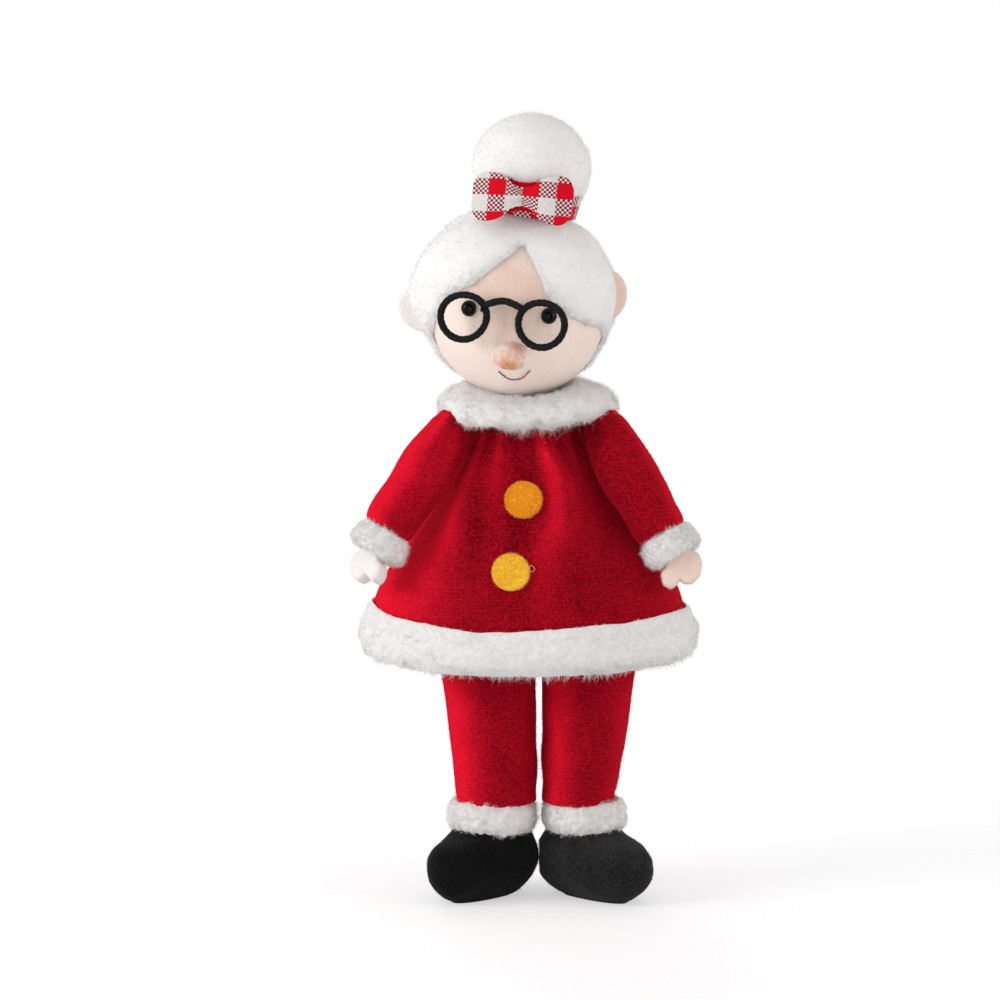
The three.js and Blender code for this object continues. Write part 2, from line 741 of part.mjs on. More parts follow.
/** Levels of a boot from the bottom up: height, half breadth, and the toe's and the heel's reach from the ankle. */
function bootLevels(leg, inset) {
  const half = bootBreadth / 2 - inset;
  const toe = bootLength - bootHeel - inset;
  const heel = bootHeel - inset;
  const shaft = ankleInside(leg, inset);
  return [
    { height: 0, half: half - 4.9, toe: toe - 6.6, heel: heel - 3.9 },
    { height: bootBulgeUp * 0.12, half: half - 3.2, toe: toe - 4.4, heel: heel - 2.5 },
    { height: bootBulgeUp * 0.32, half: half - 1.7, toe: toe - 2.2, heel: heel - 1.3 },
    { height: bootBulgeUp * 0.64, half: half - 0.4, toe: toe - 0.6, heel: heel - 0.4 },
    { height: bootBulgeUp, half, toe, heel },
    { height: bootInstep - 3.2, half: half - 0.2, toe: toe - 0.6, heel: heel - 0.6 },
    { height: bootInstep - 1.6, half: half - 0.7, toe: toe - 2.5, heel: shaft + 1.2 },
    { height: bootInstep - 0.4, half: half - 1.2, toe: shaft + 3.0, heel: shaft + 0.8 },
    { height: bootInstep + 0.6, half: shaft + 0.5, toe: shaft + 0.8, heel: shaft + 0.3 },
    { height: ankleTop - ankleTrimHeight - 0.1, half: shaft, toe: shaft, heel: shaft },
    { height: bootHeight, half: shaft, toe: shaft, heel: shaft },
  ].map((level) => ({ ...level, height: level.height + inset * Math.max(0, 1 - level.height / bootBulgeUp) }));
}

/** A boot, or a layer inside it: round levels stretched towards the toe, which points outwards. */
function bootForm(leg, inset, open) {
  const levels = bootLevels(leg, inset);
  const wallLevels = bootLevels(leg, inset + feltWall);
  const outside = [[0, levels[0].height], ...levels.map(({ half, height }) => [half, height])];
  const inside = wallLevels.slice().reverse().map(({ half, height }) => [half, height]);
  const profile = open
    ? [...outside, ...inside, [0, wallLevels[0].height]]
    : [...outside, [0, bootHeight]];
  const all = open ? [...levels, ...wallLevels] : levels;
  const middle = legMiddle(leg, leg.trimWidth / 2);
  return reshape(turned(profile, 20), (point) => {
    const radius = Math.hypot(point.x, point.y);
    const level = nearest(all, radius, point.z);
    if (radius > 1e-6) point.y *= (point.y < 0 ? level.toe : level.heel) / level.half;
    const turn = leg.side * toeOut * degrees;
    const [x, y] = [point.x, point.y];
    point.x = middle + x * Math.cos(turn) - y * Math.sin(turn);
    point.y = x * Math.sin(turn) + y * Math.cos(turn);
    point.x = leg.side * Math.max(leg.side * point.x, leg.side * legPlaneX + legGap / 2 + inset * 0.9);
  });
}

/** The level that a vertex belongs to. */
function nearest(levels, radius, height) {
  return levels.reduce((best, level) => (
    Math.hypot(level.half - radius, level.height - height) < Math.hypot(best.half - radius, best.height - height)
      ? level : best
  ));
}

function legPieces(leg) {
  const name = leg.side > 0 ? 'left' : 'right';
  const group = new THREE.Group();
  group.add(
    mesh(`${name}_trouser_leg`, trouserLeg(leg), cloth.redFleece),
    mesh(`${name}_leg_stuffing`, legStuffing(leg), cloth.stuffing),
    mesh(`${name}_ankle_trim`, ankleTrim(leg), cloth.whitePile),
    mesh(`${name}_boot`, bootForm(leg, 0, true), cloth.blackFelt),
    mesh(`${name}_boot_stuffing`, bootForm(leg, feltWall + seat, false), cloth.stuffing),
  );
  return group;
}

const doll = new THREE.Group();
doll.add(
  mesh('body_stuffing', bodyStuffing(), cloth.stuffing),
  mesh('coat', coat(), cloth.redFleece),
  mesh('coat_hem_trim', hemTrim(), cloth.whitePile),
  mesh('collar_trim', collar(), cloth.whitePile),
  mesh('top_button', button(topButton), cloth.yellowFelt),
  mesh('bottom_button', button(bottomButton), cloth.yellowFelt),
  mesh('neck', neckStub(), cloth.stuffing),
  head(),
  arm(rightArm),
  arm(leftArm),
  legPieces(rightLeg),
  legPieces(leftLeg),
);

export default doll;
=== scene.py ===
"""A stuffed cloth granny doll in a red fleece coat, standing on two felt boots.

Shapes are worked out in millimetres and go into Blender in metres. The face looks towards -Y.
"""

import json
from math import asin, atan2, cos, degrees, exp, hypot, pi, radians, sin, sqrt

import bmesh
import bpy
import numpy as np
from bmesh import ops
from mathutils import Matrix, Vector, kdtree, noise
from mathutils.bvhtree import BVHTree

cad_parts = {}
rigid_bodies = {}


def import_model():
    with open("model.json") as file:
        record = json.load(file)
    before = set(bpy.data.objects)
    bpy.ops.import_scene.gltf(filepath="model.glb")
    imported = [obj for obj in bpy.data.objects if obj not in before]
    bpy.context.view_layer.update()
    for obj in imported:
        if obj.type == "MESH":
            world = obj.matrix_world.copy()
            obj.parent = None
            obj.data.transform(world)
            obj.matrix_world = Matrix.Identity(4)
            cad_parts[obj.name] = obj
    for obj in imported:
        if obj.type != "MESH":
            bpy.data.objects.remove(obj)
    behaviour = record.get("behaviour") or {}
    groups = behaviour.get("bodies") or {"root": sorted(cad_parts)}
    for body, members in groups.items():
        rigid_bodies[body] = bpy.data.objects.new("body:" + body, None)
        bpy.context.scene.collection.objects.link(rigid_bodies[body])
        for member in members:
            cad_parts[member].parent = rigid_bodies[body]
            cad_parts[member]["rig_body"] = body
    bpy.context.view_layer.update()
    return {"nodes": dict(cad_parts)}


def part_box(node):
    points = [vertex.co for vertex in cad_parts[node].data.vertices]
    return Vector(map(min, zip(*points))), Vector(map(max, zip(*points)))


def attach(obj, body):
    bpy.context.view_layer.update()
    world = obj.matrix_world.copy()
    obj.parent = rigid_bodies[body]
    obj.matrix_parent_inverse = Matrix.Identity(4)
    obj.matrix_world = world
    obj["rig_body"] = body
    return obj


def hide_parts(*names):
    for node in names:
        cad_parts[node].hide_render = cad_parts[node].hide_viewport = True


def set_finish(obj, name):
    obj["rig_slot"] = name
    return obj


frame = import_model()

MM = 0.001
TURN = 2 * pi
# The gap left where one piece sits in another
SEAT = 0.3

# Painted shade on the fleece: the directions tried for what hides it from the room, how far they look, and
# how much shade is painted there
SHADE_RAYS = 22
SHADE_REACH = 8.0
SHADE_DEPTH = 1.4
GOLDEN_TURN = 2.39996
# Painted light of a fleece piece, as lit from the key lamp's side: how bright its front is, what its right
# and left sides add, how narrow the right's part is
COAT_PAINTED_LIGHT = (0.28, 1.0, 0.22, 1.7)
SLEEVE_PAINTED_LIGHTS = {"right": (0.46, 0.9, -0.6, 1.1), "left": (0.31, -0.25, 0.75, 1.0)}
TROUSER_PAINTED_LIGHT = (0.31, 0.85, 0.22, 1.4)

# Coat: height, half width and half depth
COAT_LEVELS = [
    (49.0, 31.4, 19.6),
    (57.0, 31.6, 19.8),
    (62.0, 30.4, 19.4),
    (67.0, 27.6, 18.2),
    (73.0, 23.2, 16.4),
    (80.0, 18.4, 14.2),
    (87.0, 14.4, 11.8),
    (94.4, 11.0, 9.4),
]
COAT_TOP = 94.4
NECK_EDGE = [(0.2, 0.9), (0.8, 2.0), (1.8, 2.9), (3.2, 3.3), (4.8, 3.3)]
COAT_BOTTOM = 49.0
HEM_BOTTOM = 47.4
HEM_HEIGHT = 9.4
HEM_WALL = 2.9
HEM_RADIUS = 31.5
HEM_SIDE_RISE = 2.8

# Collar ring
COLLAR_HALF_WIDTH = 14.4
COLLAR_HALF_DEPTH = 12.0
COLLAR_HEIGHT = 100.4
COLLAR_PILE = 3.5
COLLAR_FRONT_DROP = 2.3

# Head: the ball's middle, and its own frame
HEAD_CENTRE = Vector((-2.0, 0.5, 118.5))
HEAD_RADIUS = 17.5
HEAD = (
    Matrix.Translation(HEAD_CENTRE)
    @ Matrix.Rotation(radians(5.5), 4, "Y")
    @ Matrix.Rotation(radians(-6), 4, "Z")
)
EYES = {"right": (-8.0, 0.2), "left": (7.5, 0.35)}
EYE_RADIUS = 1.6
NOSE = (0.8, -8.0)
NOSE_HALF_WIDTH = 3.8
SMILE = [(-1.3, -11.3), (0.3, -12.4), (1.7, -12.6), (3.2, -12.1), (4.7, -10.4)]
# Soft rises and dents of the face: where, how wide and how high
FACE_RISES = [(NOSE, 4.2, 0.6), ((-6.5, -8.5), 5.0, 0.2), ((8.0, -8.0), 5.0, 0.2), ((0.5, -15.0), 4.5, 0.8),
              ((SMILE[0][0] - 0.8, SMILE[0][1]), 1.6, -0.12),
              ((SMILE[-1][0] + 0.6, SMILE[-1][1]), 1.6, -0.12)]
# Rouge on the nose: where from its middle, how far out, its reach, its colour and its strength. The second,
# higher spot is a darker rust that paints the shade on the nose's top edge
ROUGE_AND_PAINTED_SHADE = [(-0.2, -0.9, 2.2, 3.9, (0.66, 0.28, 0.12), 0.95), (1.3, 2.2, 1.2, 2.7, (0.60, 0.22, 0.14), 0.75)]
RING_CENTRES = [(-8.6, -1.3), (6.6, -1.3)]
RING_RADIUS = 4.4
WIRE_RADIUS = 0.7
GLASSES_DEPTH = -19.4

# Hair: how many degrees from the nose it begins, at each angle round the nose from the doll's left upwards
HAIRLINE = [
    (9, 51.4), (25, 38.0), (43, 33.9), (60, 38.1), (73, 47.0), (82, 55.5), (89, 66.3), (97, 56.0),
    (108, 50.0), (118, 46.6), (133, 44.4), (149, 48.9), (164, 54.8), (178, 59.5), (191, 67.4),
    (205, 83.6), (217, 83.5), (235, 87.8), (251, 110.0), (272, 118.0), (293, 113.0), (314, 89.8),
    (328, 88.5), (340, 90.1), (359, 69.8),
]
FACE_AXIS = Vector((0.058, -0.955, -0.291)).normalized()
FACE_ACROSS = (Vector((1, 0, 0)) - FACE_AXIS * FACE_AXIS.x).normalized()
FACE_UP = FACE_AXIS.cross(FACE_ACROSS)
HAIR_HALVES = Vector((21.2, 20.8, 21.2))
HAIR_ACROSS = -0.9
HAIR_ROUND = 8.5
HAIR_EDGE = 0.45

# Bun, band and bow, in the head's frame
BUN_RADIUS = 11.7
BUN_HEIGHT = 10.9
BUN_UP = 28.0
BUN_BASE_RADIUS = 8.6
BUN_BASE_UP = 20.5
BAND_UP = 18.7
BAND_HEIGHT = 4.6
BAND_RADIUS = 10.0
BOW_UP = 22.7
BOW_REACH = 9.7
BOW_OUT = [0, 0.1, 0.22, 0.36, 0.5, 0.62, 0.72, 0.8, 0.87, 0.93, 0.97, 1.0]
BOW_HALF_HEIGHT = [1.75, 1.9, 2.5, 3.8, 4.5, 4.8, 4.9, 4.8, 4.5, 3.9, 3.2, 2.4]
CLOTH_WALL = 0.3
BOW_DEPTH = -13.1
CHECK = 3.3
THREAD_PITCH = 0.92
ROW_PITCH = 0.72
RIBS_ROUND = 208

# Arms: each hangs from its shoulder along its own -Z
ARMS = {
    "right": {"side": -1, "pivot": (-16.105, -5.862, 93.0), "lean": 33.5, "length": 21.6, "sway": 1.2},
    "left": {"side": 1, "pivot": (16.023, -5.832, 93.2), "lean": 33.0, "length": 21.6, "sway": -0.4},
}
ARM_FORWARD = 2
SHOULDER_TURN = 20
SHOULDER_RADIUS = 3.7
SLEEVE_RADIUS = 5.3
CUFF_RADIUS = 6.6
CUFF_HEIGHT = 6.0
WRIST_RADIUS = 2.9

# Legs: half widths at the hip, the ankle and the trim, beside the plane between the legs
LEG_PLANE = 2.3
LEG_GAP = 1.1
LEGS = {
    "right": {"side": -1, "hip": 9.8, "ankle": 8.1, "trim": 8.9, "bulge": (-0.2, 0, 0, 0.1, 0.3),
              "boot": 1.0},
    "left": {"side": 1, "hip": 9.1, "ankle": 7.5, "trim": 8.5, "bulge": (-0.6, -0.2, 0.7, 1.0, 1.2),
             "boot": 1.05},
}
HIP = 52.5
LEG_HALF_DEPTH = 8.7
ANKLE_HALF_DEPTH = 7.8
ANKLE_TOP = 19.4
ANKLE_TRIM_HEIGHT = 6.0
TROUSER_BOTTOM = 17.5
PILE_WALL = 1.7
WIDEST_TRIM = 8.9
PILE_INSET = 0.9
TOE_OUT = 42
# Boot: height, reach to the toe, reach to the heel and half breadth
BOOT_LEVELS = [
    (0.0, 11.0, 3.6, 3.2),
    (0.8, 12.9, 5.6, 4.9),
    (2.2, 14.9, 7.5, 6.5),
    (4.5, 16.4, 9.2, 8.2),
    (6.8, 16.9, 10.1, 9.1),
    (9.0, 16.6, 9.8, 8.9),
    (10.9, 14.8, 9.0, 8.3),
    (12.3, 11.6, 8.2, 7.8),
    (13.5, 8.6, 7.8, 7.5),
    (17.0, 7.4, 7.3, 7.2),
]
BUTTON_RADIUS = 3.7
BUTTON_THICKNESS = 1.1
BUTTONS = {"top": (-1.0, 82.0), "bottom": (-3.5, 68.3)}
BUTTON_THREAD = [(0.0, -19.2, 69.0), (0, 0.4, 0), (0.4, -0.2, 0.8), (0.8, -0.3, 0.7), (1.2, -0.3, 0.0),
                 (0.6, -0.2, -0.4), (0, 0.4, -0.6)]


# Camera, floor and light


def put(name, data):
    """Puts a new object in the scene."""
    made = bpy.data.objects.new(name, data)
    bpy.context.scene.collection.objects.link(made)
    return made


CAMERA_ASIDE = -0.0056
CAMERA_AIM_HEIGHT = 0.0803
CAMERA_RISE = radians(7)
CAMERA_AWAY = 0.7
camera = put("camera", bpy.data.cameras.new("camera"))
bpy.context.scene.camera = camera
camera.data.sensor_width = 36
camera.data.lens = 126
camera.data.clip_start = 0.01
camera.data.clip_end = 20
camera.location = (CAMERA_ASIDE, -CAMERA_AWAY * cos(CAMERA_RISE),
                   CAMERA_AIM_HEIGHT + CAMERA_AWAY * sin(CAMERA_RISE))
camera.rotation_euler = (pi / 2 - CAMERA_RISE, 0, 0)
# Lamps: place in metres, size, power and tint. They look at the doll's middle
LAMP_AIM = Vector((0, 0, 0.08))
LAMPS = {
    "key lamp": ((-0.86, -0.34, 0.34), 0.50, 4.3, (1, 1, 1)),
    "fill lamp": ((0.86, -0.36, 0.22), 0.70, 2.3, (1, 0.92, 0.88)),
    "low lamp": ((0.05, -0.90, 0.02), 0.50, 1.5, (1, 0.96, 0.93)),
    "rim lamp": ((-0.20, 0.75, 0.50), 0.50, 1.0, (1, 1, 1)),
}
ROOM_LIGHT = 0.60

bpy.context.scene.view_settings.view_transform = "Standard"


class Wire:
    """One output of a look's nodes. Arithmetic on it adds the Math nodes."""

    def __init__(self, look, socket):
        self.look = look
        self.socket = socket

    def __add__(self, other):
        return self.look.math("ADD", self, other)

    def __sub__(self, other):
        return self.look.math("SUBTRACT", self, other)

    def __rsub__(self, other):
        return self.look.math("SUBTRACT", other, self)

    def __mul__(self, other):
        return self.look.math("MULTIPLY", self, other)

    def __gt__(self, other):
        return self.look.math("GREATER_THAN", self, other)


class Look:
    """A procedural material round one Principled shader."""

    def __init__(self, name, roughness, **constants):
        self.material = bpy.data.materials.new(name)
        self.material.use_nodes = True
        self.tree = self.material.node_tree
        self.surface = self.tree.nodes["Principled BSDF"]
        self.surface.inputs["Roughness"].default_value = roughness
        for socket, value in constants.items():
            self.surface.inputs[socket.replace("_", " ")].default_value = value

    def add(self, kind, settings=None, sockets=None, take=0):
        """Adds a node: its type, settings, sockets' values or links, and the output to hand back."""
        node = self.tree.nodes.new(kind)
        for name, value in (settings or {}).items():
            setattr(node, name, value)
        for name, value in (sockets or {}).items():
            if isinstance(value, Wire):
                self.tree.links.new(value.socket, node.inputs[name])
            else:
                node.inputs[name].default_value = value
        return Wire(self, node.outputs[take])

    def feed(self, socket, wire):
        self.tree.links.new(wire.socket, self.surface.inputs[socket])

    def math(self, operation, *values):
        return self.add("ShaderNodeMath", {"operation": operation}, dict(enumerate(values)))

    def vector(self, operation, *values, take="Value"):
        return self.add("ShaderNodeVectorMath", {"operation": operation}, dict(enumerate(values)), take)

    def axis(self, where, index):
        """One of a vector's three numbers."""
        return self.add("ShaderNodeSeparateXYZ", sockets={0: where}, take=index)

    def uv(self, name):
        return self.add("ShaderNodeUVMap", {"uv_map": name})

    def place(self, stretch=(1, 1, 1)):
        """Object coordinates, scaled along each axis."""
        where = self.add("ShaderNodeTexCoord", take="Object")
        return self.add("ShaderNodeMapping", sockets={"Vector": where, "Scale": stretch})

    def grain(self, size, detail=2.0, where=None, roughness=0.5):
        """Noise from 0 to 1 whose spots are about size millimetres across."""
        return self.add("ShaderNodeTexNoise", sockets={
            "Vector": where or self.place(), "Scale": 1 / (size * MM), "Detail": detail,
            "Roughness": roughness})

    def sharpened(self, wire, low, high):
        """Stretches a value so that low becomes 0 and high becomes 1."""
        return self.add("ShaderNodeMapRange", {"clamp": True},
                        {"Value": wire, "From Min": low, "From Max": high})

    def mixed(self, first, second, share):
        """A colour between two, each an (r, g, b) or a wire."""
        pair = [value if isinstance(value, Wire) else (*value, 1) for value in (first, second)]
        return self.add("ShaderNodeMix", {"data_type": "RGBA"}, {0: share, 6: pair[0], 7: pair[1]}, take=2)

    def raised(self, height, depth):
        """Feeds a bump whose full height is depth millimetres."""
        self.feed("Normal", self.add("ShaderNodeBump", sockets={
            "Height": height, "Distance": depth * MM, "Strength": 1.0}))


def fleece(name, deep, bright, sheen):
    """Brushed knit: short matted nap over fine rows. Its brightness follows the piece's nap attribute, which
    holds painted light and shade.
    """
    look = Look(name, 0.95, Specular_IOR_Level=0.04, Sheen_Weight=1.0, Sheen_Roughness=0.5,
                Sheen_Tint=(*sheen, 1))
    nap = look.grain(0.5, 3, roughness=0.65)
    fluff = look.grain(0.17, 2)
    patches = look.grain(9, 2)
    rows = look.math("SINE", look.axis(look.place(), 2) * (TURN / (ROW_PITCH * MM)))
    share = look.sharpened(nap * 0.6 + fluff * 0.4 + patches * 0.16 + rows * 0.018, 0.38, 0.80)
    # Painted light and shade: the nap attribute moves the colour between the deep and bright reds
    pale = look.add("ShaderNodeAttribute", {"attribute_name": "nap"}, take="Fac")
    look.feed("Base Color", look.mixed(deep, bright, look.sharpened(pale + (share - 0.5) * 0.8, 0, 1)))
    look.raised(nap * 0.6 + fluff * 0.5 + rows * 0.06, 0.3)
    return look


def pile(name, crevice_shade, tip, size, depth):
    """The ground of a white pile: soft lumps, with painted shade in the hollows between the tufts."""
    look = Look(name, 0.95, Specular_IOR_Level=0.1, Sheen_Weight=0.1, Sheen_Roughness=0.5)
    tufts = look.grain(size, 3)
    fluff = look.grain(size / 4, 3, roughness=0.7)
    share = look.sharpened(tufts * 0.55 + fluff * 0.45, 0.32, 0.6)
    look.feed("Base Color", look.mixed(crevice_shade, tip, share))
    look.raised(tufts * 0.6 + fluff * 0.5, depth)
    return look


def fibre(name, root, tip):
    """Single fibres: the map runs from root to tip, with a shade of its own for each fibre."""
    look = Look(name, 0.9, Specular_IOR_Level=0.1, Sheen_Weight=0.05, Sheen_Roughness=0.4)
    where = look.uv("OFBake")
    look.feed("Base Color", look.mixed(root, tip, look.axis(where, 1) * 0.5 + look.axis(where, 0) * 0.5))
    return look


def on_face(across, up, stand=0.0):
    """A point on the front of the head's ball, in the head's frame, standing out from it."""
    deep = -sqrt(HEAD_RADIUS**2 - across**2 - up**2)
    return Vector((across, deep, up)) * ((HEAD_RADIUS + stand) / HEAD_RADIUS)


def jersey(name, valley, ridge):
    """Fine jersey, its ribs running up the ball like a melon's lines, paler away from the face's middle:
    painted sheen towards the cheeks and edges, which also lifts the shade under the chin.
    """
    look = Look(name, 0.85, Specular_IOR_Level=0.15, Sheen_Weight=0.1, Sheen_Roughness=0.4)
    centred = look.vector("SUBTRACT", look.place(), HEAD_CENTRE * MM, take=0)
    local = look.add("ShaderNodeVectorRotate", {"rotation_type": "EULER_XYZ", "invert": True},
                     {"Vector": centred, "Rotation": HEAD.to_euler("XYZ")})
    angle = look.math("ARCTAN2", look.axis(local, 0), look.axis(local, 1))
    waver = look.grain(2.2, 1)
    ribs = look.math("SINE", angle * RIBS_ROUND + waver * 2.4)
    fluff = look.grain(0.35, 2, look.place(stretch=(1, 1, 0.35)))
    blotch = look.grain(5, 2)
    share = look.sharpened(ribs * 0.12 + fluff * 0.55 + blotch * 0.4, 0.25, 0.75)
    out = look.vector("DISTANCE", local, on_face(0, 3) * MM)
    # Painted sheen: paler away from the face's middle, which also lifts the chin's shade
    painted_sheen = look.sharpened(out + (blotch - 0.5) * (6 * MM), 5 * MM, 13 * MM)
    look.feed("Base Color", look.mixed(look.mixed(valley, ridge, share), FACE_PALE, painted_sheen * 0.75))
    look.raised(ribs * 0.4 + fluff * 0.8, 0.06)
    return look


def felt(name, deep, bright, size=0.5, sheen=0.1):
    """Pressed fibres in short wandering strokes."""
    look = Look(name, 0.95, Specular_IOR_Level=0.08, Sheen_Weight=sheen, Sheen_Roughness=0.5)
    strokes = look.grain(size, 4, roughness=0.7)
    threads = look.add("ShaderNodeTexVoronoi", {"feature": "DISTANCE_TO_EDGE"},
                       {"Vector": look.place(), "Scale": 1 / (size * 1.4 * MM)})
    clouds = look.grain(size * 9, 2)
    share = look.sharpened(strokes * 0.7 + clouds * 0.3 + threads * 0.3, 0.4, 0.74)
    look.feed("Base Color", look.mixed(deep, bright, share))
    look.raised(strokes * 0.8 + threads * 0.3, 0.18)
    return look


def gingham(name, red, white, dark):
    """Plain weave checks: red and white stripes cross, thread over thread. The map counts millimetres."""
    look = Look(name, 0.85, Specular_IOR_Level=0.1, Sheen_Weight=0.05, Sheen_Roughness=0.4)
    where = look.uv("cloth")
    stripes = []
    threads = []
    for axis in (0, 1):
        along = look.axis(where, axis)
        stripes.append(look.math("SINE", along * (pi / CHECK)) > 0.0)
        threads.append(look.math("SINE", along * (TURN / THREAD_PITCH)))
    over = look.sharpened(threads[0] * threads[1], -0.12, 0.12)
    warp, weft = (look.mixed(white, red, stripe) for stripe in stripes)
    fluff = look.grain(0.2, 2)
    weave = look.mixed(weft, warp, over)
    one = stripes[0] + stripes[1] - stripes[0] * stripes[1] * 2
    dots = look.mixed(weave, dark, one * (1.0 - (over - stripes[0]) * (over - stripes[0])) * 0.8)
    look.feed("Base Color", look.mixed(dark, dots, look.sharpened(fluff, 0.15, 0.42)))
    look.raised(threads[0] * threads[1] * 0.4 + fluff * 0.4, 0.07)
    return look


def thread(name, deep, bright, gloss, pitch):
    """Thread wound or twisted round a core: the map runs along the piece and round it."""
    look = Look(name, gloss, Specular_IOR_Level=0.2)
    where = look.uv("winding")
    turns = look.math("SINE", look.axis(where, 0) * (TURN / pitch) + look.axis(where, 1) * TURN)
    fluff = look.grain(0.25, 2)
    share = look.sharpened(turns * 0.3 + fluff * 0.7, 0.15, 0.75)
    look.feed("Base Color", look.mixed(deep, bright, share))
    look.raised(turns * 0.5 + fluff * 0.3, 0.14)
    return look


def bead(name, centre):
    """A glossy bead, black in the middle and dark maroon round the rim."""
    look = Look(name, 0.12, Specular_IOR_Level=0.14, Coat_Weight=0.05, Coat_Roughness=0.04)
    share = look.sharpened(look.vector("DISTANCE", look.place(), centre), 1.4 * MM, 2.1 * MM)
    look.feed("Base Color", look.mixed((0.002, 0.002, 0.0025), (0.010, 0.0015, 0.002), share))
    look.feed("Roughness", look.grain(0.8, 1) * 0.1 + 0.06)
    return look


# The fleece's deep and bright reds, far apart: the painted light and shade in each piece's nap attribute
# picks between them
RED_DEEP = (0.09, 0.0, 0.003)
RED_BRIGHT = (0.88, 0.008, 0.030)
red_fleece = fleece("red fleece", RED_DEEP, RED_BRIGHT, (1.0, 0.012, 0.04))
red_nap = fibre("red nap", (0.26, 0.002, 0.008), (0.84, 0.02, 0.05))
# The first colour of the white pile and of the white hair fleece is painted shade between their tufts
white_pile = pile("white pile", (0.80, 0.785, 0.775), (0.96, 0.95, 0.94), 1.0, 0.4)
pile_fibre = fibre("white pile fibre", (0.89, 0.88, 0.875), (0.98, 0.975, 0.97))
white_hair = pile("white hair fleece", (0.86, 0.85, 0.84), (0.93, 0.925, 0.92), 0.8, 0.12)
hair_fibre = fibre("white hair fibre", (0.88, 0.87, 0.865), (0.95, 0.945, 0.94))
FACE_VALLEY = (0.78, 0.55, 0.45)
FACE_RIDGE = (0.88, 0.70, 0.61)
# FACE_PALE is the painted sheen colour, laid towards the face's edges and chin
FACE_PALE = (0.96, 0.85, 0.78)
skin_jersey = jersey("face jersey", FACE_VALLEY, FACE_RIDGE)
skin_felt = felt("skin felt", (0.82, 0.62, 0.52), (0.93, 0.78, 0.69))
skin_nap = fibre("skin nap", (0.80, 0.60, 0.51), (0.92, 0.80, 0.73))
# The right ear and right hand, on the key lamp's side, get paler copies of the skin felt and its nap: painted
# light
painted_lit_felt = felt("pale skin felt", (0.84, 0.79, 0.76), (0.91, 0.88, 0.86))
painted_lit_nap = fibre("pale skin nap", (0.86, 0.82, 0.79), (0.92, 0.90, 0.88))
SKINS = {"right": (painted_lit_felt, painted_lit_nap), "left": (skin_felt, skin_nap)}
black_felt = felt("black felt", (0.001, 0.001, 0.0012), (0.009, 0.009, 0.0095), sheen=0.05)
charcoal_felt = felt("charcoal felt", (0.005, 0.005, 0.0053), (0.033, 0.0335, 0.034), sheen=0.08)
black_nap = fibre("black nap", (0.003, 0.003, 0.003), (0.022, 0.022, 0.023))
orange_felt = felt("orange felt", (0.62, 0.16, 0.004), (0.95, 0.36, 0.015), 0.6)
yellow_felt = felt("yellow felt", (0.76, 0.32, 0.012), (0.98, 0.62, 0.06), 0.6)
yellow_nap = fibre("yellow nap", (0.85, 0.42, 0.04), (0.95, 0.62, 0.15))
check_cloth = gingham("gingham", (0.70, 0.002, 0.016), (0.74, 0.70, 0.68), (0.14, 0.0, 0.015))
bound_thread = thread("black binding thread", (0.001, 0.001, 0.001), (0.009, 0.009, 0.01), 0.55, 0.5)
pink_thread = thread("pink embroidery thread", (0.22, 0.05, 0.07), (0.52, 0.17, 0.2), 0.7, 0.6)
gold_thread = thread("gold loose thread", (0.7, 0.5, 0.3), (0.9, 0.75, 0.5), 0.7, 0.5)
filling = felt("fibre filling", (0.62, 0.60, 0.56), (0.86, 0.85, 0.81), 0.8)
calico = felt("white calico", (0.68, 0.65, 0.60), (0.84, 0.82, 0.78), 0.4)
red_stitch = felt("red sewing thread", (0.16, 0.0, 0.005), (0.40, 0.004, 0.015), 0.3)


def backdrop():
    """A pale floor that the camera sees as white, with the doll's shadow on it, and soft lamps."""
    bm = bmesh.new()
    ops.create_grid(bm, x_segments=1, y_segments=1, size=6)
    mesh = bpy.data.meshes.new("floor")
    bm.to_mesh(mesh)
    bm.free()
    floor = put("floor", mesh)
    look = Look("pale floor", 0.9, Emission_Strength=1.0)
    seen = look.add("ShaderNodeLightPath", take="Is Camera Ray")
    far = look.sharpened(look.vector("LENGTH", look.place()), 0.15, 0.9)
    glow = look.mixed((0.50, 0.50, 0.50), (0.66, 0.66, 0.66), far)
    look.feed("Base Color", look.mixed((0.8, 0.8, 0.8), (0.6, 0.6, 0.6), seen))
    look.feed("Emission Color", look.mixed((0, 0, 0), glow, seen))
    mesh.materials.append(look.material)

    world = bpy.data.worlds.new("studio")
    bpy.context.scene.world = world
    world.use_nodes = True
    nodes = world.node_tree.nodes
    seen = nodes.new("ShaderNodeLightPath")
    mix = nodes.new("ShaderNodeMix")
    mix.data_type = "FLOAT"
    mix.inputs[2].default_value = ROOM_LIGHT
    mix.inputs[3].default_value = 1.0
    world.node_tree.links.new(seen.outputs["Is Camera Ray"], mix.inputs[0])
    world.node_tree.links.new(mix.outputs[0], nodes["Background"].inputs["Strength"])
    nodes["Background"].inputs["Color"].default_value = (1, 1, 1, 1)

    for name, (spot, size, power, tint) in LAMPS.items():
        lamp = put(name, bpy.data.lights.new(name, "AREA"))
        lamp.data.shape = "DISK"
        lamp.data.size = size
        lamp.data.energy = power
        lamp.data.color = tint
        lamp.location = spot
        lamp.rotation_euler = (LAMP_AIM - Vector(spot)).to_track_quat("-Z", "Y").to_euler()


# Making shapes


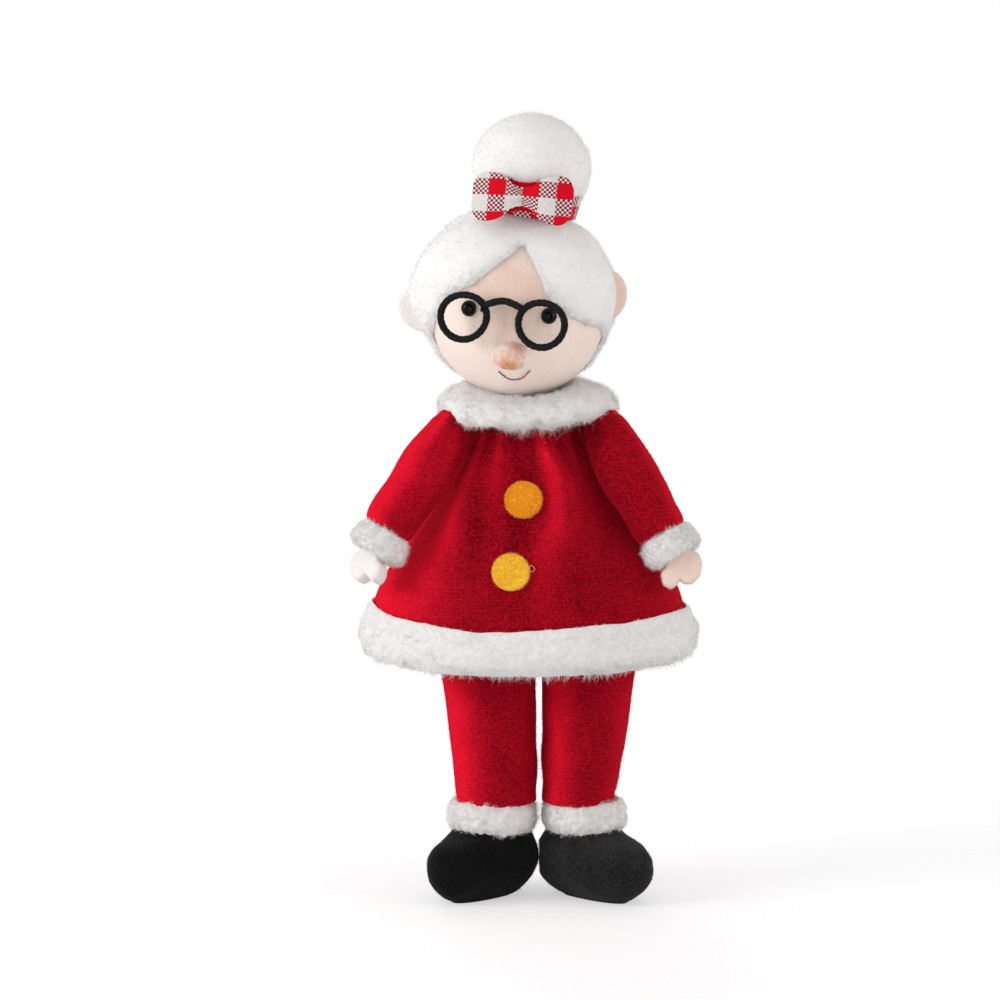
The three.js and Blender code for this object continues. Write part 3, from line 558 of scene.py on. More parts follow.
def curve_through(points, count, closed=False):
    """Evenly numbered points on a smooth curve through the given points."""
    points = np.array(points, float)
    spans = len(points) if closed else len(points) - 1
    out = []
    for step in range(count):
        at = step / (count if closed else count - 1) * spans
        index = min(int(at), spans - 1)
        t = at - index
        if closed:
            a, b, c, d = (points[(index + k) % len(points)] for k in (-1, 0, 1, 2))
        else:
            a, b, c, d = (points[min(max(index + k, 0), spans)] for k in (-1, 0, 1, 2))
        bend = (2 * a - 5 * b + 4 * c - d) * t**2
        out.append(tuple(0.5 * (2 * b + (c - a) * t + bend + (3 * b - a - 3 * c + d) * t**3)))
    return out


def joined(bm, apart):
    """Joins the points that lie closer together than apart, and turns the faces one way."""
    ops.remove_doubles(bm, verts=bm.verts, dist=apart)
    ops.recalc_face_normals(bm, faces=bm.faces)
    return bm


def turned(profile, steps, closed=False):
    """Spins [radius, height] points about +Z into a skin. A closed profile makes a ring."""
    bm = bmesh.new()
    verts = [bm.verts.new((radius, 0, height)) for radius, height in profile]
    pairs = list(zip(verts, verts[1:]))
    if closed:
        pairs.append((verts[-1], verts[0]))
    edges = [bm.edges.new(pair) for pair in pairs]
    ops.spin(bm, geom=verts + edges, cent=(0, 0, 0), axis=(0, 0, 1), dvec=(0, 0, 0), angle=TURN,
             steps=steps, use_merge=True, use_duplicate=False)
    return joined(bm, 1e-4)


def face_outwards(bm):
    """Turns every face of a closed shape to the outside."""
    ops.recalc_face_normals(bm, faces=bm.faces)
    if bm.calc_volume(signed=True) < 0:
        ops.reverse_faces(bm, faces=bm.faces)


def sculpt(bm, formula):
    """Moves every vertex to where the formula puts it, from its place and its normal."""
    bm.normal_update()
    places = [formula(vert.co, vert.normal) for vert in bm.verts]
    for vert, place in zip(bm.verts, places):
        vert.co = place
    return bm


def lumps(size, height, seed=0.0):
    """A formula that raises soft lumps of a size and a height in millimetres."""
    offset = Vector((seed * 7.3, seed * 3.1, seed * 5.7))

    def formula(place, normal):
        near = place / size + offset
        rise = noise.noise(near) + 0.5 * noise.noise(near * 2.3)
        return place + normal * (rise * height)

    return formula


def slid(*way):
    """A formula that moves a shape without bending it."""
    way = Vector(way)
    return lambda place, normal: place + way


def smooth_between(value, places, heights):
    """Reads a rounded curve through measured heights."""
    near = value + np.linspace(-0.7, 0.7, 7)
    return float(np.interp(near, places, heights).mean())


def ramp(value, places, heights):
    """Reads a line through heights at places."""
    return float(np.interp(value, places, heights))


def clear_of(made, other, gap):
    """Pushes a soft piece's skin off the piece that it rests on."""
    tree = BVHTree.FromObject(other, bpy.context.evaluated_depsgraph_get())
    for vert in made.data.vertices:
        place, normal, _, away = tree.find_nearest(vert.co)
        short = gap * MM - (vert.co - place).dot(normal)
        if short > 0 and away < 4 * MM:
            vert.co += normal * short


def paint_light_and_shade(made, painted_light, *neighbours, painted_fold_shading=None):
    """Paints light and shade into fleece's nap attribute: how bright its front is, what the doll's right and
    left sides add to that, as lit from the key lamp's side, and how narrow the right side's part is. Fold
    crests get painted highlights, and painted shade falls where its folds and neighbours hide it from the
    room."""
    front, rightwards, leftwards, narrow = painted_light
    depsgraph = bpy.context.evaluated_depsgraph_get()
    trees = [BVHTree.FromObject(other, depsgraph) for other in (made, *neighbours)]
    ways = []
    for k in range(SHADE_RAYS):
        up = 1 - 2 * (k + 0.5) / SHADE_RAYS
        turn = k * GOLDEN_TURN
        flat = sqrt(1 - up * up)
        ways.append(Vector((flat * cos(turn), flat * sin(turn), up)))
    values = []
    for vert in made.data.vertices:
        normal = vert.normal
        start = vert.co + normal * (0.3 * MM)
        total, free = 0.0, 0.0
        for way in ways:
            weight = way.dot(normal)
            if weight > 0.1:
                total += weight
                if not any(tree.ray_cast(start, way, SHADE_REACH * MM)[0] for tree in trees):
                    free += weight
        # Painted light: paler where the surface faces the doll's right, towards the key lamp, with painted
        # highlights on fold crests; painted shade darkens it where rays are blocked
        lit = front + rightwards * max(0.0, -normal.x) ** narrow + leftwards * max(0.0, normal.x) ** 3
        if painted_fold_shading:
            lit = max(0.1, lit + painted_fold_shading(vert.co / MM))
        values.append(lit * (free / total) ** SHADE_DEPTH if total else lit)
    # The nap attribute holds this painted light and shade
    nap = made.data.attributes.new("nap", "FLOAT", "POINT")
    nap.data.foreach_set("value", values)


def piece(name, bm, look, body, slot, nodes=(), place=None):
    """Makes a shape in millimetres into an object that rides on a body and stands for its CAD nodes."""
    if place is not None:
        bm.transform(place)
    bm.transform(Matrix.Scale(MM, 4))
    for face in bm.faces:
        face.smooth = True
    mesh = bpy.data.meshes.new(name)
    bm.to_mesh(mesh)
    bm.free()
    mesh.materials.append(look.material)
    return fitted(put(name, mesh), body, slot, nodes)


def fitted(made, body, slot, nodes=()):
    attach(made, body)
    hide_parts(*nodes)
    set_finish(made, slot)
    return made


def pile_ring(name, section, steps, body, node, moves, place=None):
    """A ring of white pile: its section spun about +Z, then put through each formula in turn."""
    bm = turned(section, steps, closed=True)
    for move in moves:
        sculpt(bm, move)
    return piece(name, bm, white_pile, body, "white_pile", [node], place)


def settled(made):
    """Applies a piece's modifiers to its mesh."""
    bpy.context.view_layer.update()
    depsgraph = bpy.context.evaluated_depsgraph_get()
    mesh = bpy.data.meshes.new_from_object(made.evaluated_get(depsgraph))
    made.modifiers.clear()
    made.data = mesh
    mesh.shade_smooth()
    return made


def softened(name, node, look, body, slot, voxel, rounds, swell=0.0, lump=None):
    """A stuffed copy of a CAD node: fused, rounded by smoothing, swollen a little and lumped."""
    bm = bmesh.new()
    bm.from_mesh(frame["nodes"][node].data)
    ops.remove_doubles(bm, verts=bm.verts, dist=1e-6)
    bm.transform(Matrix.Scale(1 / MM, 4))
    made = piece(name, bm, look, body, slot, [node])
    remesh = made.modifiers.new("fused", "REMESH")
    remesh.mode = "VOXEL"
    remesh.voxel_size = voxel * MM
    settled(made)
    bm = bmesh.new()
    bm.from_mesh(made.data)
    bm.transform(Matrix.Scale(1 / MM, 4))
    for _ in range(rounds):
        ops.smooth_vert(bm, verts=bm.verts, factor=0.5, use_axis_x=True, use_axis_y=True, use_axis_z=True)
    if swell:
        sculpt(bm, lambda place, normal: place + normal * swell)
    if lump:
        sculpt(bm, lumps(*lump))
    bm.transform(Matrix.Scale(MM, 4))
    bm.to_mesh(made.data)
    bm.free()
    made.data.shade_smooth()
    return made


def spike(rings):
    """One tapered fibre of unit size along +Z, cut into rings: its points and its triangles."""
    bm = bmesh.new()
    ops.create_cone(bm, cap_ends=True, segments=3, radius1=1, radius2=0, depth=1)
    ops.remove_doubles(bm, verts=bm.verts, dist=0.01)
    for ring in range(1, rings):
        ops.bisect_plane(bm, geom=bm.verts[:] + bm.edges[:] + bm.faces[:],
                               plane_co=(0, 0, ring / rings - 0.5), plane_no=(0, 0, 1))
    ops.triangulate(bm, faces=bm.faces)
    ops.recalc_face_normals(bm, faces=bm.faces)
    bm.verts.index_update()
    points = np.array([vert.co for vert in bm.verts]) + np.array((0, 0, 0.5))
    faces = np.array([[vert.index for vert in face.verts] for face in bm.faces])
    bm.free()
    return points, faces


def fibres(name, ground, count, length, width, seed, look, lay=0.4, curl=0.5, clump=0.3,
           comb=(0, 0, 0), keep=None, rings=2, stretch=None, coil=0.0):
    """Thin tapered fibres on a piece, copies of one spike, with a map from root to tip.

    lay leans neighbouring fibres the same way, curl bends each one, coil winds it, clump draws their tips
    together, comb pulls them one way, keep says where they grow and stretch how long they are there.
    """
    random = np.random.RandomState(seed)
    mesh = ground.data
    mesh.calc_loop_triangles()
    points = np.empty(len(mesh.vertices) * 3)
    mesh.vertices.foreach_get("co", points)
    points = points.reshape(-1, 3) / MM
    corners = np.empty(len(mesh.loop_triangles) * 3, np.int64)
    mesh.loop_triangles.foreach_get("vertices", corners)
    corners = corners.reshape(-1, 3)
    a, b, c = (points[corners[:, k]] for k in range(3))
    normals = np.cross(b - a, c - a)
    area = np.linalg.norm(normals, axis=1)
    normals /= np.maximum(area, 1e-12)[:, None]
    weight = area.copy()
    if keep is not None:
        weight *= keep((a + b + c) / 3, normals)
    chosen = random.choice(len(area), count, p=weight / weight.sum())
    u, v = random.rand(2, count)
    flip = u + v > 1
    u[flip], v[flip] = 1 - u[flip], 1 - v[flip]
    root = a[chosen] + (b - a)[chosen] * u[:, None] + (c - a)[chosen] * v[:, None]
    out = normals[chosen]

    sway = np.zeros((count, 3))
    for size, share in ((4.0, 1.0), (1.6, 0.8)):
        for _ in range(3):
            way = random.normal(size=3)
            wave = random.normal(size=3) / size * 2.2
            sway += share * way * np.sin(root @ wave + random.rand() * TURN)[:, None] / 1.8
    sway += random.normal(size=(count, 3)) * 0.45
    lean = out + lay * sway + (comb(root) if callable(comb) else np.array(comb))
    lean /= np.linalg.norm(lean, axis=1)[:, None]
    inward = np.minimum((lean * out).sum(1) - 0.12, 0)
    lean -= inward[:, None] * out
    lean /= np.linalg.norm(lean, axis=1)[:, None]
    long = length * (0.6 + 0.6 * random.rand(count))
    if stretch is not None:
        long *= stretch(root, out)
    bend = random.normal(size=(count, 3)) * curl
    bend -= (bend * lean).sum(1)[:, None] * lean

    reach = (lean + bend * 0.5) * long[:, None]
    if clump:
        heads = random.choice(count, max(count // 14, 1), replace=False)
        tree = kdtree.KDTree(len(heads))
        for index, head in enumerate(heads):
            tree.insert(root[head], index)
        tree.balance()
        mate = np.array([heads[tree.find(place)[1]] for place in root])
        pull = clump * (0.5 + 0.5 * random.rand(count))
        tip = root + reach
        reach += (tip[mate] - tip) * pull[:, None]

    side = np.cross(lean, random.normal(size=(count, 3)))
    side /= np.linalg.norm(side, axis=1)[:, None]
    other = np.cross(lean, side)
    shape, one = spike(rings)
    wide, deep, t = (shape[:, k][None, :, None] for k in range(3))
    places = root[:, None] + reach[:, None] * t + (lean * long[:, None] - reach)[:, None] * t * (1 - t)
    places += (side[:, None] * wide + other[:, None] * deep) * width * 0.5
    places -= out[:, None] * 0.15 * (t < 0.01)
    winding = t * TURN * 1.6 + random.rand(count)[:, None, None] * TURN
    round_it = side[:, None] * np.cos(winding) + other[:, None] * np.sin(winding)
    places += coil * np.sqrt(t) * round_it * (t > 0.01)
    faces = (one[None] + (np.arange(count) * len(shape))[:, None, None]).reshape(-1, 3)
    mesh = bpy.data.meshes.new(name)
    mesh.from_pydata((places.reshape(-1, 3) * MM).tolist(), [], faces.tolist())
    corner_of = faces.reshape(-1)
    own = random.rand(count)
    uv = np.stack([own[corner_of // len(shape)], shape[corner_of % len(shape), 2]], axis=1)
    layer = mesh.uv_layers.new(name="OFBake")
    layer.data.foreach_set("uv", uv.reshape(-1))
    mesh.shade_smooth()
    mesh.materials.append(look.material)
    return fitted(put(name, mesh), ground["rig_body"], ground["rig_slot"])


def tube(name, points, radius, look, body, slot, nodes=(), closed=False, place=None, sides=10):
    """A round tube along points, with a map that runs along it in millimetres and once round it."""
    points = [Vector(point) for point in points]
    count = len(points)
    frames = []
    length = 0.0
    across = None
    for index, point in enumerate(points):
        after = points[(index + 1) % count] if closed or index < count - 1 else point
        before = points[index - 1] if closed or index > 0 else point
        tangent = (after - before).normalized()
        if across is None:
            across = tangent.orthogonal()
        across = (across - tangent * across.dot(tangent)).normalized()
        wide = radius(index / (count - 1)) if callable(radius) else radius
        frames.append((point, across * wide, tangent.cross(across) * wide, length))
        length += (after - point).length
    profile = [(1, index) for index in range(count)]
    if closed:
        profile.append((1, count))
        frames.append((*frames[0][:3], length))
    else:
        profile = [(0, 0), *profile, (0, count - 1)]
    bm = turned(profile, sides)
    layer = bm.loops.layers.uv.new("winding")
    for face in bm.faces:
        middle = face.calc_center_median()
        facing_it = atan2(middle.y, middle.x)
        for loop in face.loops:
            spot = loop.vert.co
            turn = atan2(spot.y, spot.x) - facing_it if spot.xy.length > 0.5 else 0
            turn = (turn + pi) % TURN - pi + facing_it
            loop[layer].uv = (frames[round(spot.z)][3], turn / TURN)

    def shape(spot, normal):
        point, first, second, _ = frames[round(spot.z)]
        return point + first * spot.x + second * spot.y

    return piece(name, joined(sculpt(bm, shape), 1e-4), look, body, slot, nodes, place)


# Torso


def coat_half(height):
    """The coat's half width and half depth at a height, with the corners between its levels rounded."""
    levels = np.array(COAT_LEVELS)
    near = height + np.linspace(-2.5, 2.5, 11)
    return tuple(float(np.interp(near, levels[:, 0], levels[:, k]).mean()) for k in (1, 2))


def bump(angle, middle, width):
    """A rounded rise round the coat at an angle in degrees, counted from the front towards +X."""
    gap = (angle - middle + 180) % 360 - 180
    return exp(-((gap / width) ** 2))


# Folds of the coat: its angle at each height, counted from the front towards +X, its width and its rise
FOLD_HEIGHTS = (52, 60, 71, 78, 86, 94)
FOLD_SPREAD = (1.5, 1.4, 1.2, 1.0, 0.95, 0.8)
COAT_FOLDS = [
    ((6, 7, 10, 21, 25, 14), 8, (0.3, 0.6, 1.5, 2.3, 2.2, 1.5)),
    ((-8, -8, -9, -6, -3, -9), 13, (-0.1, -0.4, -0.9, -1.1, -1.3, -0.9)),
    ((-30, -30, -33, -40, -46, -48), 13, (0.3, 0.7, 1.5, 1.9, 1.5, 0.6)),
    ((36, 38, 42, 50, 54, 55), 11, (-0.3, -0.6, -1.0, -1.2, -1.2, -0.8)),
    ((62, 62, 66, 74, 80, 80), 14, (0.2, 0.3, 0.4, 0.3, 0.2, 0.1)),
    ((-62, -62, -66, -76, -84, -84), 14, (-0.2, -0.3, -0.4, -0.3, -0.2, -0.1)),
    ((110, 110, 112, 114, 116, 116), 15, (0.4, 0.5, 0.6, 0.6, 0.5, 0.2)),
    ((140, 140, 140, 140, 140, 140), 12, (-0.4, -0.6, -0.9, -0.9, -0.7, -0.3)),
    ((168, 168, 168, 170, 172, 172), 14, (0.3, 0.5, 0.8, 0.9, 0.8, 0.4)),
    ((196, 196, 198, 200, 200, 200), 11, (-0.3, -0.5, -0.8, -0.8, -0.6, -0.3)),
    ((226, 226, 226, 226, 226, 226), 15, (0.4, 0.5, 0.8, 0.8, 0.6, 0.2)),
]


def coat_fold(angle, height):
    """How far the coat stands out at an angle and a height: drooping folds, and gathers under the collar."""
    out = 0.0
    for angles, width, rises in COAT_FOLDS:
        middle = ramp(height, FOLD_HEIGHTS, angles)
        rise = ramp(height, FOLD_HEIGHTS, rises)
        spread = width * ramp(height, FOLD_HEIGHTS, FOLD_SPREAD)
        out += rise * bump(angle, middle, spread)
    gather = cos(radians(angle * 17 + 40)) + 0.7 * cos(radians(angle * 11 + 100))
    return out + gather * 0.22 * ramp(height, [80, 94], [0, 1])


def coat_fold_painted_shading(place):
    """How much paler the coat's colour is painted on crests of its front folds, as a painted highlight, or
    darker beside the right sleeve, as painted shade.
    """
    angle = degrees(atan2(place.x, -place.y))
    share = ramp(angle, [-80, -60, -35, -10, 25, 40], [0, -0.08, -0.08, 0.12, 0.12, 0.04])
    return share * coat_fold(angle, place.z)


def facing_out(place, normal):
    """How far faces look away from the torso's middle line."""
    return normal[:, 0] * place[:, 0] + normal[:, 1] * place[:, 1]


def on_coat(place, normal):
    """Gives the turned coat its oval, its folds and its small dents."""
    angle = degrees(atan2(place.x, -place.y))
    half_width, half_depth = coat_half(place.z)
    radius = hypot(place.x, place.y)
    share = radius / half_width
    stand = coat_fold(angle, place.z) * share
    dent = noise.noise(place / 9) * 0.35 + noise.noise(place / 3.1 + Vector((9, 2, 4))) * 0.12
    wide = 1 + (stand + dent) / max(radius, 1)
    return Vector((place.x * wide, place.y * half_depth / half_width * wide, place.z))


def make_torso():
    heights = np.linspace(COAT_BOTTOM, COAT_TOP, 76)
    profile = [(coat_half(height)[0], height) for height in heights]
    neck = profile[-1][0]
    profile += [(neck - fall, COAT_TOP + rise) for fall, rise in NECK_EDGE]
    bm = sculpt(turned(profile, 220), on_coat)
    ops.solidify(bm, geom=bm.faces[:], thickness=1.2)
    ops.recalc_face_normals(bm, faces=bm.faces)
    coat = piece("fleece_coat", bm, red_fleece, "torso", "red_fleece", ["coat"])
    outside = lambda place, normal: (facing_out(place, normal) > 0) * 1.0
    fibres("coat_nap", coat, 18000, 0.5, 0.065, 11, red_nap, lay=1.1, curl=0.6, keep=outside)

    low = lambda root, out: np.interp(root[:, 2] - HEM_BOTTOM, [0, 2, 3, 8, 10], [1.9, 1.5, 1.0, 0.9, 0.5])
    front = lambda place, normal: (
        np.where(facing_out(place, normal) > -0.3, 1, 0.3)
        * np.interp(place[:, 2] - HEM_BOTTOM, [1, 3], [2.2, 1.0])
    )
    fibres("hem_fibres", hem_trim(), 17000, 1.0, 0.075, 21, pile_fibre, lay=0.9, curl=0.9, clump=0.2,
           comb=(0, 0, -0.3), stretch=low, keep=front)

    collar = collar_trim()
    fibres("collar_fibres", collar, 17000, 1.2, 0.08, 31, pile_fibre, lay=0.9, curl=1.1, clump=0.35,
           comb=(0, 0, -0.1))
    hanging = lambda place, normal: (
        np.exp(-(((place[:, 0] - 1) / 6) ** 2)) * (place[:, 1] < 0) * (normal[:, 2] < -0.2)
        * (normal[:, 1] < -0.1)
    )
    fibres("collar_stray_curls", collar, 260, 2.2, 0.06, 32, pile_fibre, lay=0.5, curl=0.9, clump=0,
           comb=(0, -0.3, -0.6), keep=hanging, rings=8, coil=0.4)

    felt_button("top", orange_felt, 12)
    felt_button("bottom", yellow_felt, -20)
    edge = Vector(BUTTON_THREAD[0])
    tube("button_loose_thread", curve_through([edge + Vector(step) for step in BUTTON_THREAD[1:]], 30), 0.055,
         gold_thread, "torso", "yellow_felt", sides=6)

    stuffing = softened("calico_body", "body_stuffing", calico, "torso", "stuffing", 1.0, 6)
    return coat


def hem_trim():
    """A rounded band of pile that hangs from the coat's edge and rises at both sides."""
    middle = HEM_BOTTOM + HEM_HEIGHT / 2
    top = HEM_BOTTOM + HEM_HEIGHT
    inner = HEM_RADIUS + SEAT
    outer = inner + HEM_WALL - PILE_INSET
    section = curve_through([
        (inner, top - 0.4), (inner, middle), (inner, HEM_BOTTOM + 1.6), (inner + 0.7, HEM_BOTTOM + 0.7),
        (outer - 0.9, HEM_BOTTOM + 1.3), (outer - 0.1, middle - 1.6), (outer, middle + 0.6),
        (outer - 0.7, top - 2.0), (inner + 0.5, top - 0.3)], 34, closed=True)

    def shape(place, normal):
        angle = degrees(atan2(place.x, -place.y))
        radius = hypot(place.x, place.y)
        share = min(max((place.z - middle) / (top - middle), 0), 1)
        side = (place.x / radius) ** 2
        wave = 0.4 * sin(radians(angle * 3 + 20)) + 0.25 * sin(radians(angle * 7))
        height = place.z + share * (HEM_SIDE_RISE * side + wave) + (1 - share) * 1.6 * side**2
        half_width, half_depth = coat_half(height)
        stand = radius - HEM_RADIUS + coat_fold(angle, height)
        x, y = place.x / radius, place.y / radius
        return Vector((x * (stand + half_width), y * (stand + half_depth), height))

    return pile_ring("pile_hem", section, 300, "torso", "coat_hem_trim", [shape, lumps(3.0, 0.25, 1)])


def collar_trim():
    """A pile ring that slopes on to the shoulders and drops at the front, where its ends meet."""
    pile_radius = COLLAR_PILE - PILE_INSET * 0.5
    section = []
    for k in range(32):
        turn = k / 32 * TURN
        up = (pile_radius + 0.2) * sin(turn)
        inwards = max(0.0, -cos(turn))
        across = pile_radius * cos(turn) * (1 + 1.1 * inwards)
        section.append((COLLAR_HALF_WIDTH + across - up * 0.26, up + 2.1 * inwards))

    def shape(place, normal):
        angle = atan2(place.y, place.x)
        front = max(0.0, -sin(angle))
        parting = bump(degrees(atan2(place.x, -place.y)), 6, 4)
        thin = 1 - 0.14 * parting
        radius = COLLAR_HALF_WIDTH + (hypot(place.x, place.y) - COLLAR_HALF_WIDTH) * thin
        x = radius * cos(angle)
        y = radius * sin(angle) + (COLLAR_HALF_DEPTH - COLLAR_HALF_WIDTH) * sin(angle)
        up = place.z * thin * (1 - 0.2 * front) + 0.045 * x * front
        return Vector((x, y, up + COLLAR_HEIGHT - 0.3 - (COLLAR_FRONT_DROP - 0.8) * front**2))

    return pile_ring("pile_collar", section, 260, "torso", "collar_trim",
                     [shape, lumps(3.4, 0.45, 2), lumps(1.1, 0.26, 6)])


def felt_button(name, look, angle):
    """A cut disc of felt that lies on the coat's front."""
    across, height = BUTTONS[name]
    bm = bmesh.new()
    ops.create_cone(bm, cap_ends=True, segments=56, radius1=BUTTON_RADIUS, radius2=BUTTON_RADIUS,
                    depth=BUTTON_THICKNESS)
    caps = [face for face in bm.faces if len(face.verts) > 4]
    for _ in range(4):
        ops.inset_region(bm, faces=caps, thickness=0.7, depth=0.03)
        caps = [face for face in bm.faces if len(face.verts) > 4]
    rim = []
    for edge in bm.edges:
        first, second = (vert.co for vert in edge.verts)
        outer = all(abs(hypot(*spot.xy) - BUTTON_RADIUS) < 1e-3 for spot in (first, second))
        if outer and abs(first.z - second.z) < 1e-4:
            rim.append(edge)
    ops.bevel(bm, geom=rim, offset=0.22, segments=3, profile=0.5, affect="EDGES", material=-1)
    sculpt(bm, lumps(2.0, 0.06, 3))
    low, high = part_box(f"{name}_button")
    middle = (low + high) / 2 / MM
    half_width, half_depth = coat_half(height)
    turn = asin(across / half_width)
    middle.y -= 0.7 * coat_fold(degrees(turn), height)
    rise = coat_half(height - BUTTON_RADIUS)[1] - coat_half(height + BUTTON_RADIUS)[1]
    slope = atan2(rise, 2 * BUTTON_RADIUS)
    place = (
        Matrix.Translation(middle)
        @ Matrix.Rotation(turn * half_depth / half_width, 4, "Z")
        @ Matrix.Rotation(pi / 2 - slope, 4, "X")
        @ Matrix.Rotation(radians(angle), 4, "Z")
    )
    made = piece(f"felt_{name}_button", bm, look, "torso", "yellow_felt", [f"{name}_button"], place)
    edge = lambda spot, normal: np.where(
        np.linalg.norm(spot - np.array(middle), axis=1) > BUTTON_RADIUS - 0.5, 1.0, 0.12
    )
    fibres(f"{name}_button_nap", made, 700, 0.4, 0.06, 41 + angle, yellow_nap, lay=0.8, curl=0.5, clump=0,
           keep=edge)


# Head


def make_face():
    bm = bmesh.new()
    ops.create_uvsphere(bm, u_segments=128, v_segments=88, radius=HEAD_RADIUS)
    dents = [(on_face(*spot), 2.2, -0.12) for spot in EYES.values()]
    dents += [(on_face(*spot), width, height) for spot, width, height in FACE_RISES]

    def shape(place, normal):
        rise = sum(height * exp(-(((place - spot).length / width) ** 2))
                   for spot, width, height in dents)
        return place + normal * (rise + 0.12 * noise.noise(place / 5))

    sculpt(bm, shape)
    face = piece("jersey_face", bm, skin_jersey, "head", "skin_jersey", ["face_cover"], HEAD)

    bm = cut_ball(1, 56, 36, -0.25)
    ops.scale(bm, verts=bm.verts, vec=(NOSE_HALF_WIDTH, NOSE_HALF_WIDTH * 0.82, 2.3))
    sculpt(bm, lumps(1.6, 0.14, 5))
    nose = piece("jersey_nose", bm, nose_cloth(), "head", "nose_cloth", ["nose"], HEAD @ facing(*NOSE, 0.15))

    for side, spot in EYES.items():
        bm = cut_ball(EYE_RADIUS, 40, 24, -0.3)
        ops.scale(bm, verts=bm.verts, vec=(1, 1, 0.85))
        where = HEAD @ facing(*spot, 0.25)
        look = bead(f"{side} eye bead", (where @ Vector((0, 0, EYE_RADIUS * 0.85))) * MM)
        piece(f"{side}_glossy_eye", bm, look, "head", "black_bead", [f"{side}_eye_bead"], where)

    points = curve_through([on_face(*spot, 0.6) for spot in SMILE], 40)
    wobble = [Vector(p) + Vector((0, 0, 0.05 * sin(k * 1.3))) for k, p in enumerate(points)]
    tube("smile_thread", wobble, lambda t: 0.13 + 0.03 * sin(t * 50), pink_thread, "head", "pink_thread",
         ["smile_stitch"], place=HEAD, sides=8)


def cut_ball(radius, segments, rings, bottom):
    """A ball cut off flat at a height below its middle."""
    bm = bmesh.new()
    ops.create_uvsphere(bm, u_segments=segments, v_segments=rings, radius=radius)
    ops.bisect_plane(bm, geom=bm.verts[:] + bm.edges[:] + bm.faces[:], plane_co=(0, 0, bottom),
                     plane_no=(0, 0, -1), clear_outer=True)
    ops.holes_fill(bm, edges=bm.edges, sides=0)
    return bm


def facing(across, up, stand):
    """The place of a shape that points straight out of the face along its own +Z."""
    spot = on_face(across, up, stand)
    return Matrix.Translation(spot) @ spot.to_track_quat("Z", "Y").to_matrix().to_4x4()


def nose_cloth():
    """The face's jersey rubbed with rust colour at the nose's middle, and a darker rust spot above it as
    painted shade on the nose's top edge.
    """
    look = jersey("rouged jersey", FACE_VALLEY, FACE_RIDGE)
    cloth = Wire(look, look.surface.inputs["Base Color"].links[0].from_socket)
    mottle = look.grain(0.9, 4, roughness=0.75)
    for across, up, stand, reach, colour, strength in ROUGE_AND_PAINTED_SHADE:
        spot = (HEAD @ on_face(NOSE[0] + across, NOSE[1] + up, stand)) * MM
        out = look.vector("DISTANCE", look.place(), spot)
        share = look.sharpened(1.0 - out * (1 / (reach * MM)) + (mottle - 0.5) * 1.4, 0.0, 0.9)
        cloth = look.mixed(cloth, colour, share * strength)
    look.feed("Base Color", cloth)
    return look


def make_glasses():
    """Two rings of bound wire with an arched bridge, lashed where it meets the right ring."""
    rings = []
    for index, (across, up) in enumerate(RING_CENTRES):
        points = []
        for k in range(120):
            turn = k / 120 * TURN
            wide = RING_RADIUS * (1 + 0.02 * sin(2 * turn + 1 + index) + 0.012 * sin(3 * turn))
            points.append((across + wide * cos(turn), GLASSES_DEPTH + 0.15 * sin(turn + index),
                           up + wide * sin(turn)))
        rings.append(points)
    left_end = Vector((RING_CENTRES[0][0] + 3.8, GLASSES_DEPTH, RING_CENTRES[0][1] + 2.0))
    right_end = Vector((RING_CENTRES[1][0] - 3.7, GLASSES_DEPTH, RING_CENTRES[1][1] + 2.2))
    arch = [left_end, left_end + Vector((0.6, -0.1, 0.9)),
            (left_end + right_end) / 2 + Vector((-0.1, -0.15, 1.75)),
            right_end + Vector((-0.9, -0.1, 0.8)), right_end]
    wrap = lambda t: WIRE_RADIUS * (1 + 0.05 * sin(t * 160) + 0.03 * sin(t * 57))
    slot = "black_thread"
    tube("right_lens_ring", rings[0], wrap, bound_thread, "head", slot, ["glasses_frame"], True, HEAD, 12)
    tube("left_lens_ring", rings[1], wrap, bound_thread, "head", slot, (), True, HEAD, 12)
    tube("glasses_bridge", curve_through(arch, 44), wrap, bound_thread, "head", slot, (), False, HEAD, 12)
    lash = []
    for k in range(40):
        turn = k / 40 * TURN * 4
        lash.append(left_end + Vector((0.4 - k / 40 * 1.0, 0.8 * cos(turn), 0.2 + 0.8 * sin(turn))))
    tube("bridge_lashing", lash, 0.13, bound_thread, "head", slot, (), False, HEAD, 6)


def hair_begins(angle):
    """How many degrees from the nose the hair begins, at an angle round it."""
    near = angle + np.linspace(-2, 2, 5)
    return np.interp(near, *zip(*HAIRLINE), period=360).mean()


def from_nose(angle, away):
    """A direction on the head's ball: an angle round the nose and degrees away from it."""
    angle, away = radians(angle), radians(away)
    round_it = FACE_ACROSS * cos(angle) + FACE_UP * sin(angle)
    return FACE_AXIS * cos(away) + round_it * sin(away)


def hair_depth(way):
    """How thick the hair is in a direction: an egg round the ball, thinner below its right front lock."""
    shift = HAIR_ACROSS / HAIR_HALVES.x
    scaled = Vector(way[k] / HAIR_HALVES[k] for k in range(3))
    half = scaled.x * shift
    square = scaled.length_squared
    reach = (half + sqrt(half * half - square * (shift * shift - 1))) / square
    low = ramp(way.z * HEAD_RADIUS, [-8.2, -6.0], [0.3, 1])
    share = ramp(way.x * HEAD_RADIUS, [-9, -3], [1, 0]) * ramp(way.y * HEAD_RADIUS, [-3, 5], [1, 0])
    crown = 0.6 * max(0.0, way.z) ** 4
    return (reach - HEAD_RADIUS - 0.15 - crown) * (1 - share + share * low)


